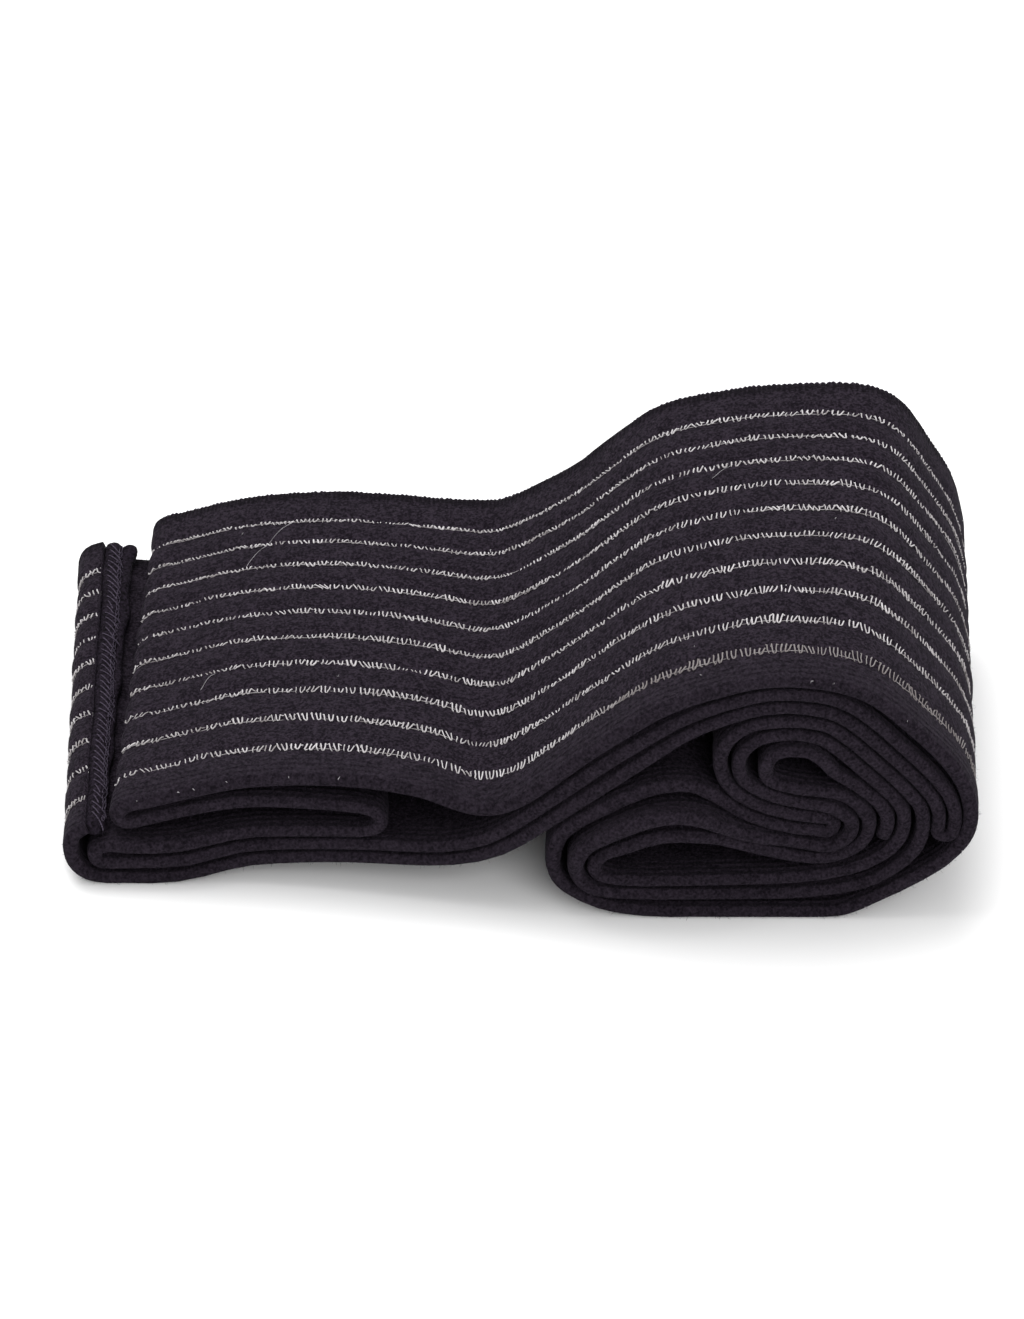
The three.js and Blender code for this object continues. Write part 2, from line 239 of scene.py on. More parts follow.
# A loop of the looper thread: its size as a share of the stitch pitch, its place as shares of
# the ridge's half width and half height, its tilt and turn, and how wide and long it is drawn
LOOPER_SIZE = 1.2
LOOPER_OUT, LOOPER_UP = 0.84, 0.58
LOOPER_TILT, LOOPER_TURN, LOOPER_CHANCE = math.radians(52), -0.25, 0.15
LOOPER_WIDTH, LOOPER_LENGTH = 0.34, (1.1, 1.8)

# The nap: how far from a selvedge its edge fibres root, how many of those are in front, how
# deep a root sits, and how wildly the fibres point and bend
NAP_EDGE = 0.9 * MM
NAP_IN_FRONT = 0.6
NAP_ROOT = 0.05 * MM
NAP_WILD, NAP_BEND = 0.55, 0.5

# The back edge's loops: their radius, how far in and how high over the middle they start, how
# much of their pitch each one spans, and how unevenly they stand
PICOT_RADIUS = 0.19 * MM
PICOT_INSET, PICOT_HEIGHT = 0.35 * MM, 0.85 * MM
PICOT_SPAN, PICOT_CHANCE = 0.75, 0.08 * MM
PICOT_POINTS = 6

# Stray hairs and lint: radii, how high a hair's ends and its middle lie, and a speck's size
HAIR_RADIUS, HAIR_POINTS = 0.032 * MM, 24
HAIR_LOW, HAIR_BOW = 0.12 * MM, 0.30 * MM
LINT_RADIUS, LINT_REACH, LINT_HEIGHT = 0.055 * MM, 0.16 * MM, 0.08 * MM
LINT_ON_EDGE, LINT_EDGE = 0.4, 0.2 * MM

# The stage
FLOOR_SIZE = 8.0
CAMERA_TARGET = Vector((-1.15, 5.6, 15.5)) * MM
LIGHT_TARGET = Vector((0.0, 0.0, 20.0)) * MM
SOFTBOXES = [
    {"name": "softbox_above", "at": (-0.25, 0.35, 1.25), "size": 1.1, "power": 17.0},
    {"name": "softbox_front", "at": (0.45, -1.2, 0.9), "size": 0.9, "power": 9.5},
]

# One repeat of the stripe yarn, as it lies on the cloth. along is a share of the repeat,
# across a share of half the zigzag, and lift a share of the yarn's radius.
YARN_REPEAT = [
    {"along": 0.02, "across": 1.12, "lift": -1.2},
    {"along": 0.03, "across": 0.95, "lift": 0.9},
    {"along": 0.06, "across": 0.10, "lift": 1.5},
    {"along": 0.09, "across": -0.75, "lift": 1.4},
    {"along": 0.14, "across": -1.02, "lift": 0.5},
    {"along": 0.27, "across": -1.06, "lift": -0.2},
    {"along": 0.33, "across": -0.75, "lift": 1.4},
    {"along": 0.37, "across": 0.20, "lift": 1.5},
    {"along": 0.39, "across": 0.95, "lift": 0.9},
    {"along": 0.41, "across": 1.10, "lift": -1.2},
    {"along": 0.52, "across": 0.00, "lift": -3.4},
    {"along": 0.63, "across": -1.05, "lift": -0.6},
    {"along": 0.66, "across": -0.85, "lift": 1.2},
    {"along": 0.69, "across": 0.05, "lift": 1.5},
    {"along": 0.73, "across": 0.95, "lift": 1.0},
    {"along": 0.76, "across": 1.12, "lift": -0.8},
    {"along": 0.88, "across": 1.10, "lift": -2.8},
]

# Stray hairs on the top layer, in millimetres: x where one starts, the stripe that it starts
# on, how far it runs along and across the band, and how much it bows
STRAY_HAIRS = [
    {"x": -36.0, "stripe": 9, "length": 7.5, "run": -11.5, "bend": 0.15},
    {"x": 33.5, "stripe": 7, "length": 3.2, "run": -3.4, "bend": -0.4},
    {"x": -47.0, "stripe": 3, "length": 2.4, "run": -4.6, "bend": 0.3},
]


class WrapKnit(bpy.types.PropertyGroup):
    """Sizes and colours of the knitted band."""

    stripes: IntProperty(name="Stripes", description="Zigzag stripes across the band", default=10)
    front_margin: FloatProperty(
        name="Front margin", description="Plain cloth in front, in stripe pitches", default=1.11
    )
    back_margin: FloatProperty(
        name="Back margin", description="Plain cloth at the back, in stripe pitches", default=1.23
    )
    spread: FloatProperty(
        name="Stripe spread", description="How much wider the stripes lie apart in front", default=0.25
    )
    puff: FloatProperty(
        name="Puff", description="How far the cloth swells between stripes",
        default=0.28 * MM, unit="LENGTH",
    )
    groove: FloatProperty(
        name="Groove", description="How deep a stripe draws the cloth in",
        default=0.25 * MM, unit="LENGTH",
    )
    groove_width: FloatProperty(
        name="Groove width", description="Half width of the groove along a stripe",
        default=1.1 * MM, unit="LENGTH",
    )
    selvedge: FloatProperty(
        name="Selvedge", description="How far in the band's edges are rounded",
        default=1.15 * MM, unit="LENGTH",
    )
    unevenness: FloatProperty(
        name="Unevenness", description="Gentle lumps of the soft cloth",
        default=0.14 * MM, unit="LENGTH",
    )
    # The pile's dark and light colours: they are mixed by the same noise that sets the pile's relief,
    # so the low pile is painted in shade
    dark: FloatVectorProperty(
        name="Dark fibre", description="Colour deep in the pile", subtype="COLOR",
        default=(0.0052, 0.0038, 0.0060),
    )
    light: FloatVectorProperty(
        name="Light fibre", description="Colour of the raised pile", subtype="COLOR",
        default=(0.0228, 0.0175, 0.0250),
    )


class WrapYarn(bpy.types.PropertyGroup):
    """Sizes and colours of the stripe yarn."""

    repeat: FloatProperty(
        name="Repeat", description="Length of one repeat of the zigzag",
        default=2.05 * MM, unit="LENGTH",
    )
    reach: FloatProperty(
        name="Reach", description="Half the width of the zigzag", default=0.66 * MM, unit="LENGTH",
    )
    radius: FloatProperty(
        name="Radius", description="Radius of the yarn", default=0.108 * MM, unit="LENGTH",
    )
    stand: FloatProperty(
        name="Stand", description="How far the yarn stands up from the cloth",
        default=0.07 * MM, unit="LENGTH",
    )
    loop_repeat: FloatProperty(
        name="Loop repeat", description="Repeat on the tight left loop, as a share", default=0.78,
    )
    loop_reach: FloatProperty(
        name="Loop reach", description="Width of the zigzag on the left loop, as a share", default=0.75,
    )
    carrier: FloatProperty(
        name="Carrier", description="Radius of the thin thread along each stripe",
        default=0.055 * MM, unit="LENGTH",
    )
    bunch: FloatProperty(
        name="Bunch", description="How much thicker the back stripe is at the crease, as a share",
        default=0.9,
    )
    back_reach: FloatProperty(
        name="Back reach", description="Width of the stack's back stripe, as a share", default=0.42,
    )
    coil_reach: FloatProperty(
        name="Coil reach", description="Width of the coil's back stripe, as a share", default=0.62,
    )
    slope_reach: FloatProperty(
        name="Slope reach", description="Width of the zigzag on the coil's right side, as a share",
        default=0.90,
    )
    fold_reach: FloatProperty(
        name="Fold reach", description="Width of the zigzag at the left fold, as a share", default=0.60,
    )
    rise_reach: FloatProperty(
        name="Rise reach", description="Width of the zigzag on the climb to the coil, as a share",
        default=0.58,
    )
    white: FloatVectorProperty(
        name="White", description="Colour of the yarn", subtype="COLOR", default=(0.61, 0.585, 0.60),
    )
    # The grey that the yarn is mixed towards: on the coil's front stripe, and as painted shade on the
    # coil's right side, near the left fold, between plies and where a carrier dips
    grey: FloatVectorProperty(
        name="Grey", description="Colour where the yarn is rubbed or sunk", subtype="COLOR",
        default=(0.12, 0.100, 0.098),
    )


class WrapHem(bpy.types.PropertyGroup):
    """Sizes and colours of the overlocked end."""

    stitch_pitch: FloatProperty(
        name="Stitch pitch", description="Distance between overlock stitches",
        default=1.42 * MM, unit="LENGTH",
    )
    thread: FloatProperty(
        name="Thread", description="Radius of the overlock thread", default=0.11 * MM, unit="LENGTH",
    )
    lean: FloatProperty(
        name="Lean", description="How far each stitch leans along the hem", default=math.radians(52),
        subtype="ANGLE",
    )
    lip: FloatProperty(
        name="Lip", description="Width of the loose fold beside the hem, at the back",
        default=1.9 * MM, unit="LENGTH",
    )
    cloth: FloatVectorProperty(
        name="Cloth", description="Colour of the turned cloth", subtype="COLOR",
        default=(0.0085, 0.0062, 0.0100),
    )
    thread_colour: FloatVectorProperty(
        name="Thread colour", description="Colour of the overlock thread", subtype="COLOR",
        default=(0.058, 0.048, 0.068),
    )


class WrapFibres(bpy.types.PropertyGroup):
    """The raised nap, stray hairs and lint."""

    count: IntProperty(name="Count", description="Fibres raised from the cloth", default=13000)
    length: FloatProperty(
        name="Length", description="Longest raised fibre", default=0.75 * MM, unit="LENGTH",
    )
    radius: FloatProperty(
        name="Radius", description="Radius of a fibre at its root", default=0.022 * MM, unit="LENGTH",
    )
    picot: FloatProperty(
        name="Picot", description="How far the back edge's loops stand out",
        default=0.42 * MM, unit="LENGTH",
    )
    picot_pitch: FloatProperty(
        name="Picot pitch", description="Distance between the back edge's loops",
        default=0.74 * MM, unit="LENGTH",
    )
    specks: IntProperty(name="Specks", description="Specks of lint", default=26)
    colour: FloatVectorProperty(
        name="Colour", description="Colour of the nap", subtype="COLOR", default=(0.024, 0.0195, 0.029),
    )
    lint: FloatVectorProperty(
        name="Lint", description="Colour of stray hairs and lint", subtype="COLOR",
        default=(0.62, 0.60, 0.62),
    )


class WrapStage(bpy.types.PropertyGroup):
    """Floor, light and camera."""

    elevation: FloatProperty(
        name="Elevation", description="The camera's angle above the floor",
        default=math.radians(36.5), subtype="ANGLE",
    )
    distance: FloatProperty(
        name="Distance", description="From the camera to what it looks at", default=1.2, unit="LENGTH",
    )
    lens: FloatProperty(name="Lens", description="Focal length in millimetres", default=207.0)
    floor: FloatVectorProperty(
        name="Floor", description="Colour of the floor", subtype="COLOR", default=(0.90, 0.90, 0.90),
    )
    sky: FloatProperty(name="Sky", description="Strength of the even light all round", default=0.80)


def smooth_step(value):
    """0 below 0, 1 above 1, and an even curve between."""
    share = np.clip(value, 0.0, 1.0)
    return share * share * (3.0 - 2.0 * share)


def smooth_through(knots, values, at):
    """A smooth curve through the values at the knots, worked out at other places."""
    slopes = np.gradient(values, knots, axis=0)
    left = np.clip(np.searchsorted(knots, at, side="right") - 1, 0, len(knots) - 2)
    gap = knots[left + 1] - knots[left]
    share = np.clip((at - knots[left]) / gap, 0.0, 1.0)
    if values.ndim > 1:
        gap = gap[:, None]
        share = share[:, None]
    rest = 1.0 - share
    return (
        (1.0 + 2.0 * share) * rest**2 * values[left]
        + share * rest**2 * gap * slopes[left]
        + share**2 * (3.0 - 2.0 * share) * values[left + 1]
        - share**2 * rest * gap * slopes[left + 1]
    )


def lumps(along, across, size, seed):
    """Smooth chance values from -1 to 1 over the cloth, about size apart."""
    grid = np.random.default_rng(seed).uniform(-1.0, 1.0, LUMP_GRID)
    x = along / size
    y = across / size
    left = np.floor(x).astype(int)
    below = np.floor(y).astype(int)
    u = smooth_step(x - left)
    v = smooth_step(y - below)

    def value(i, j):
        return grid[(left + i) % LUMP_GRID[0], (below + j) % LUMP_GRID[1]]

    near = value(0, 0) * (1 - u) + value(1, 0) * u
    far = value(0, 1) * (1 - u) + value(1, 1) * u
    return near * (1 - v) + far * v


def neighbours(vertex):
    return {edge.other_vert(vertex) for edge in vertex.link_edges}


def rings_of_band(mesh):
    """The band's rings of vertices in order, from the coil's inner end to the hem."""
    cap_corners = [vertex for vertex in mesh.verts if len(vertex.link_edges) > INNER_EDGES]
    corner = max(cap_corners, key=lambda vertex: vertex.co.x)
    beside = [other for other in neighbours(corner) if len(other.link_edges) < INNER_EDGES]
    ring = {corner, *beside}
    behind = set()
    rings = []
    while ring:
        rings.append(ring)
        ahead = set().union(*(neighbours(vertex) for vertex in ring)) - ring - behind
        behind = ring
        ring = ahead
    return rings


def thickness_at(ring, front):
    """The band's thickness, between its two vertices beside the front one."""
    beside = sorted(ring - {front}, key=lambda other: (other.co - front.co).length)
    return (beside[0].co - beside[1].co).length


class BandSurface:
    """The band's own surface, asked for by along, across, face and height above its middle."""

    def __init__(self, knit):
        mesh = bmesh.new()
        mesh.from_mesh(frame["nodes"]["elastic_band"].data)
        bmesh.ops.remove_doubles(mesh, verts=mesh.verts, dist=MERGE_DISTANCE)
        rings = rings_of_band(mesh)
        front = [min(ring, key=lambda vertex: vertex.co.y) for ring in rings]
        back = [max(ring, key=lambda vertex: vertex.co.y) for ring in rings]
        self.front = np.array([vertex.co for vertex in front])
        self.back = np.array([vertex.co for vertex in back])
        self.half = np.array([thickness_at(*pair) for pair in zip(rings, front)]) / 2
        mesh.free()
        for line in (self.front, self.back):
            ahead = line[-1] - line[-2]
            line[-1] += END_TUCK * ahead / np.linalg.norm(ahead)
        steps = np.linalg.norm(np.diff((self.front + self.back) / 2, axis=0), axis=1)
        self.knots = np.concatenate([[0.0], np.cumsum(steps)])
        self.length = float(self.knots[-1])
        self.width = float(np.median(self.back[:, 1] - self.front[:, 1]))
        self.knit = knit
        self.pitch = self.width / (knit.stripes - 1 + knit.front_margin + knit.back_margin)
        from_middle = np.linspace(0.5, -0.5, knit.stripes - 1)
        gaps = self.pitch * (1.0 + knit.spread * from_middle)
        first = self.pitch * knit.front_margin
        self.stripe_places = first + np.concatenate([[0.0], np.cumsum(gaps)])
        self.find_shown_stretches()
        self.round_top_layer()

    def find_shown_stretches(self):
        """Where the outer layer leaves the floor, turns under at the left, and where the last
        loop comes up from the floor."""
        fine = np.arange(0.0, self.length, LINE_STEP)
        middle = smooth_through(self.knots, (self.front + self.back) / 2, fine)
        crest = int(np.argmax(middle[:, 2]))
        before = fine[:crest][middle[:crest, 2] < FLOOR_LAYER]
        self.top_start = float(before[-1])
        self.crest = float(fine[crest])
        turned_back = np.diff(middle[crest:, 0]) > 0.0
        self.top_end = float(fine[crest + int(np.argmax(turned_back))])
        last = fine > self.length - self.width
        self.loop_start = float(fine[last][np.argmin(middle[last, 0])]) - LOOP_SHOWN

    def round_top_layer(self):
        """Evens out sharp changes of slope on the top layer, as soft cloth does by itself."""
        away = np.linspace(-3.0, 3.0, SOFT_SAMPLES)
        weights = np.exp(-(away**2) / 2)
        weights /= weights.sum()
        share = smooth_step((self.knots - self.top_start - SOFT_RAMP / 2) / SOFT_RAMP)
        share = share * smooth_step((self.top_end - SOFT_RAMP - self.knots) / SOFT_RAMP)
        around = self.knots[:, None] + away * SOFT_SPREAD
        near = np.clip(around, 0.0, self.length).ravel()
        evened = []
        for line in (self.front, self.back):
            points = smooth_through(self.knots, line, near).reshape(*around.shape, 3)
            mean = np.einsum("kap,a->kp", points, weights)
            evened.append(line + share[:, None] * (mean - line))
        self.front, self.back = evened

    def shown(self, along, face):
        """1 where that face of the band is seen from outside, and 0 where it is folded in."""
        top = smooth_step((along - self.top_start + 2 * SHOWN_RAMP) / SHOWN_RAMP)
        top = top * smooth_step((self.top_end + SHOWN_RAMP - along) / SHOWN_RAMP)
        loop = smooth_step((along - self.loop_start) / SHOWN_RAMP)
        return np.where(face == TOP_FACE, top, loop)

    def on_stack(self, along):
        """1 on the stack's top, and 0 on the coil's."""
        return smooth_step((along - self.crest - STACK_START) / STACK_RAMP)

    def on_right(self, along):
        """1 on the coil's right side, that falls away from the crest, and 0 on its top."""
        return smooth_step((self.crest - RIGHT_START - along) / RIGHT_RAMP)

    def near_fold(self, along, before):
        """1 at the left fold, and 0 up to the given distance before it."""
        return smooth_step((along - self.top_end + before) / FOLD_RAMP)

    def top_by_x(self):
        """The top layer's places from left to right: x, and along the band."""
        along = np.arange(self.top_end, self.crest, -LINE_STEP)
        return self.x_at(along), along

    def x_at(self, along):
        """How far right the band's middle is at places along it."""
        return smooth_through(self.knots, (self.front[:, 0] + self.back[:, 0]) / 2, along)

    def height(self, along, across, face):
        """How far the cloth's face stands from the band's middle. The lumps are drawn anew for
        each set of places, so the yarns rise from the cloth and sink into it a little."""
        knit = self.knit
        half = smooth_through(self.knots, self.half, along)
        inside = np.clip(np.minimum(across, self.width - across) / knit.selvedge, 0.0, 1.0)
        rounding = np.sqrt(1.0 - (1.0 - inside) ** 2)
        nearest = np.abs(across[..., None] - self.stripe_places).min(axis=-1)
        groove = np.exp(-((nearest / knit.groove_width) ** 2))
        swell = knit.puff * smooth_step(nearest / (0.5 * self.pitch)) - knit.groove * groove
        large = lumps(along, across, LARGE_LUMP, 3 + face)
        small = lumps(along, across, SMALL_LUMP, 7 + face)
        soft = knit.unevenness * (large + SMALL_SHARE * small)
        firm = FOLDED_SWELL + (1.0 - FOLDED_SWELL) * self.shown(along, face)
        return half * rounding + (swell + soft) * rounding * firm

    def place(self, along, across, face, height):
        """Points at that height over the middle, and the way out of the cloth there."""
        share = (across / self.width)[:, None]

        def middle(at):
            front = smooth_through(self.knots, self.front, at)
            back = smooth_through(self.knots, self.back, at)
            return front * (1.0 - share) + back * share, back - front

        centre, width = middle(along)
        after, _ = middle(np.minimum(along + LINE_STEP, self.length))
        before, _ = middle(np.maximum(along - LINE_STEP, 0.0))
        out = np.cross(after - before, width)
        out = out / np.linalg.norm(out, axis=1)[:, None] * np.asarray(face)[:, None]
        return centre + out * np.asarray(height)[:, None], out

    def over(self, along, across, face, lift):
        """Points that far over the cloth's own face, and the way out of the cloth there."""
        face = np.broadcast_to(face, along.shape)
        return self.place(along, across, face, self.height(along, across, face) + lift)

    def rows(self):
        """Places along the band where the mesh has a row: close together where it shows."""
        fine = np.arange(0.0, self.length, LINE_STEP)
        middle = smooth_through(self.knots, (self.front + self.back) / 2, fine)
        ahead = np.diff(middle[:, [0, 2]], axis=0)
        heading = np.unwrap(np.arctan2(ahead[:, 1], ahead[:, 0]))
        seen = np.maximum(
            self.shown(fine, np.full(len(fine), TOP_FACE)),
            self.shown(fine, np.full(len(fine), LOOP_FACE)),
        )
        kept = [0.0]
        turned = 0.0
        for i in range(1, len(heading)):
            turned += abs(heading[i] - heading[i - 1])
            gone = fine[i] - kept[-1]
            longest = SHOWN_STEP if seen[i] > 0.5 else HIDDEN_STEP
            if gone >= longest or turned > HIDDEN_TURN:
                kept.append(float(fine[i]))
                turned = 0.0
        kept.append(self.length)
        return np.array(kept)

    def columns(self):
        """Places across the band where the mesh has a column, from selvedge to selvedge."""
        turn = np.linspace(0.0, math.pi / 2, SELVEDGE_COLUMNS + 1)[:-1]
        edge = self.knit.selvedge * (1.0 - np.cos(turn))
        places = np.concatenate([[0.0], self.stripe_places, [self.width]])
        shares = np.arange(COLUMNS_PER_PITCH) / COLUMNS_PER_PITCH
        flat = (places[:-1, None] + np.diff(places)[:, None] * shares).ravel()
        clear = (flat > self.knit.selvedge) & (flat < self.width - self.knit.selvedge)
        return np.concatenate([edge, flat[clear], (self.width - edge)[::-1]])


def new_piece(name, points, faces, material):
    """A mesh object at the origin that rides on the wrap's one body."""
    mesh = bpy.data.meshes.new(name)
    mesh.from_pydata(np.asarray(points).tolist(), [], faces)
    mesh.update()
    mesh.polygons.foreach_set("use_smooth", [True] * len(mesh.polygons))
    mesh.materials.append(material)
    piece = bpy.data.objects.new(name, mesh)
    bpy.context.scene.collection.objects.link(piece)
    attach(piece, "root")
    return piece


def tube_mesh(paths, outs, radii, sides):
    """Points and faces of closed tubes, each along its own path, all of the same count."""
    paths = np.asarray(paths)
    outs = np.asarray(outs)
    count, length, _ = paths.shape
    ahead = np.gradient(paths, axis=1)
    ahead /= np.linalg.norm(ahead, axis=2)[..., None] + 1e-12
    side = np.cross(ahead, outs)
    side /= np.linalg.norm(side, axis=2)[..., None] + 1e-12
    up = np.cross(side, ahead)
    turn = np.linspace(0.0, 2.0 * math.pi, sides, endpoint=False)
    ring = np.cos(turn)[:, None] * side[:, :, None, :] + np.sin(turn)[:, None] * up[:, :, None, :]
    points = paths[:, :, None, :] + ring * np.asarray(radii)[:, :, None, None]
    faces = []
    for tube in range(count):
        base = tube * length * sides
        for step in range(length - 1):
            low = base + step * sides
            for i in range(sides):
                j = (i + 1) % sides
                faces.append((low + i, low + j, low + sides + j, low + sides + i))
        faces.append(tuple(base + i for i in reversed(range(sides))))
        top = base + (length - 1) * sides
        faces.append(tuple(top + i for i in range(sides)))
    return points.reshape(-1, 3), faces


def add_fibres(name, paths, outs, radii, sides, material):
    """Loose fibres as one piece: a thin closed tube along each path."""
    points, faces = tube_mesh(paths, outs, radii, sides)
    new_piece(name, points, faces, material)


def deselect_all():
    for item in bpy.context.view_layer.objects:
        item.select_set(False)


class Nodes:
    """Short ways to put a material's nodes together."""

    def __init__(self, name):
        self.material = bpy.data.materials.new(name)
        self.material.use_nodes = True
        self.tree = self.material.node_tree
        self.shader = self.tree.nodes["Principled BSDF"]

    def add(self, kind, **inputs):
        node = self.tree.nodes.new(kind)
        for name, value in inputs.items():
            self.feed(node, name.replace("_", " "), value)
        return node

    def feed(self, node, name, value):
        socket = node.inputs[name]
        if isinstance(value, bpy.types.NodeSocket):
            self.tree.links.new(value, socket)
        else:
            socket.default_value = value

    def math(self, operation, first, second):
        node = self.tree.nodes.new("ShaderNodeMath")
        node.operation = operation
        self.feed(node, 0, first)
        self.feed(node, 1, second)
        return node.outputs[0]

    def noise(self, vector, scale, detail, roughness):
        return self.add(
            "ShaderNodeTexNoise", Vector=vector, Scale=scale, Detail=detail, Roughness=roughness
        ).outputs["Fac"]

    def spread(self, value, low, high, to_low=0.0, to_high=1.0):
        ends = {"From_Min": low, "From_Max": high, "To_Min": to_low, "To_Max": to_high}
        return self.add("ShaderNodeMapRange", Value=value, **ends).outputs["Result"]

    def times(self, first, second):
        return self.math("MULTIPLY", first, second)

    def sum(self, *parts):
        """Adds up its parts, each a value, the middle that is taken from it, and its weight."""
        total = 0.0
        for value, middle, weight in parts:
            total = self.math("ADD", total, self.times(self.math("SUBTRACT", value, middle), weight))
        return total

    def mix(self, share, first, second):
        node = self.tree.nodes.new("ShaderNodeMix")
        node.data_type = "RGBA"
        self.feed(node, 0, share)
        self.feed(node, 6, first)
        self.feed(node, 7, second)
        return node.outputs[2]

    def place(self):
        return self.tree.nodes.new("ShaderNodeTexCoord").outputs["Object"]

    def attribute(self, name):
        node = self.tree.nodes.new("ShaderNodeAttribute")
        node.attribute_name = name
        return node.outputs["Fac"]

    def finish(self, colour, height, depth, strength, roughness, specular):
        """Joins the colour and the relief to the shader, and sets its roughness and gloss."""
        bump = self.add("ShaderNodeBump", Height=height, Distance=depth, Strength=strength)
        self.feed(self.shader, "Base Color", colour)
        self.feed(self.shader, "Normal", bump.outputs["Normal"])
        self.shader.inputs["Roughness"].default_value = roughness
        self.shader.inputs["Specular IOR Level"].default_value = specular
        return self.material


def opaque(colour, factor=1.0):
    """The colour as a socket takes it, made lighter or darker by the factor."""
    return (*(factor * part for part in colour), 1.0)


def knit_material(width):
    """Brushed charcoal knit: clumped pile, with ribs at the back selvedge and rows at the front
    one. Its colour mixes the pile's own speckle with painted shade: the pile is painted darker
    where its relief is low, and dark dashes of shade are painted on the back ribs. The cloth's
    map, the band's width and all distances across it are in millimetres."""
    knit = bpy.context.scene.wrap_knit
    nodes = Nodes("fleecy_knit")
    place = nodes.place()
    uv = nodes.tree.nodes.new("ShaderNodeUVMap")
    uv.uv_map = "cloth"
    split = nodes.add("ShaderNodeSeparateXYZ", Vector=uv.outputs["UV"])
    along = split.outputs["X"]
    across = split.outputs["Y"]
    stretched = nodes.add(
        "ShaderNodeMapping", Vector=uv.outputs["UV"], Rotation=(0.0, 0.0, 0.6), Scale=(0.9, 2.4, 1.0)
    )
    pile = nodes.sum(
        (nodes.noise(place, CLUMPS, detail=2.0, roughness=0.6), 0.0, 0.70),
        (nodes.noise(place, TUFTS, detail=2.0, roughness=0.5), 0.0, 0.30),
        (nodes.noise(place, PATCHES, detail=2.0, roughness=0.5), 0.5, 0.12),
        (nodes.noise(stretched.outputs["Vector"], STREAKS, detail=3.0, roughness=0.6), 0.5, 0.22),
    )
    ribs = nodes.math("PINGPONG", along, HALF_RIB)
    rows = nodes.math("PINGPONG", across, HALF_ROW)

    # Painted shade: the pile is darker where its noise, which also raises its relief, is low, and the
    # back ribs are painted with dark dashes of shade
    crisp = nodes.spread(across, 2.5, 6.0, 0.95, 1.5)
    rib_shade = nodes.spread(across, width - 2.6, width - 1.8, 0.0, -0.7)
    shade = nodes.sum((pile, 0.51, crisp), (ribs, 0.0, rib_shade))
    colour = nodes.mix(nodes.spread(shade, -0.14, 0.14), opaque(knit.dark), opaque(knit.light))

    rib_depth = nodes.spread(across, width - 3.2, width - 2.2, 0.35, 2.6)
    row_depth = nodes.times(nodes.spread(across, 5.5, 3.5), 0.9)
    relief = nodes.sum((pile, 0.0, 1.0), (ribs, 0.0, rib_depth), (rows, 0.0, row_depth))
    nodes.shader.inputs["Sheen Weight"].default_value = 0.02
    nodes.shader.inputs["Sheen Roughness"].default_value = 0.55
    nodes.shader.inputs["Sheen Tint"].default_value = (0.62, 0.56, 0.70, 1.0)
    return nodes.finish(colour, relief, depth=0.55 * MM, strength=1.0, roughness=0.95, specular=0.04)


def yarn_material():
    """Matt white yarn, greyer on the coil's front stripe, and with painted shade between its plies,
    on the coil's right side, near the left fold and where a carrier dips into the pile.
    """
    yarn = bpy.context.scene.wrap_yarn
    nodes = Nodes("stripe_yarn")
    place = nodes.place()
    ply = nodes.noise(place, PLIES, detail=2.0, roughness=0.6)
    soiled = nodes.noise(place, SOILED, detail=3.0, roughness=0.6)
    # Painted shade: the ply noise darkens the yarn between its plies; the attribute makes it greyer on
    # the coil's front stripe and paints shade on the coil's right side, near the left fold and where a
    # carrier dips
    bright = nodes.times(nodes.spread(ply, 0.3, 0.7, 0.72, 1.0), nodes.attribute("whiteness_and_shade"))
    bright = nodes.times(bright, nodes.spread(soiled, 0.28, 0.62, 0.75, 1.0))
    colour = nodes.mix(bright, opaque(yarn.grey), opaque(yarn.white))
    nodes.shader.inputs["Sheen Weight"].default_value = 0.15
    return nodes.finish(colour, ply, depth=0.05 * MM, strength=0.6, roughness=0.8, specular=0.2)


def fibre_material(name, colour):
    """Fine threads or cloth in one shade, with a little variation."""
    look = FIBRES[name]
    nodes = Nodes(name)
    fine = nodes.noise(nodes.place(), look["grain"], detail=3.0, roughness=0.6)
    dark = opaque(colour, look["dark"])
    light = opaque(colour, look["light"])
    shade = nodes.mix(nodes.spread(fine, 0.36, 0.64), dark, light)
    return nodes.finish(shade, fine, look["relief"], strength=0.9, roughness=0.9, specular=0.06)


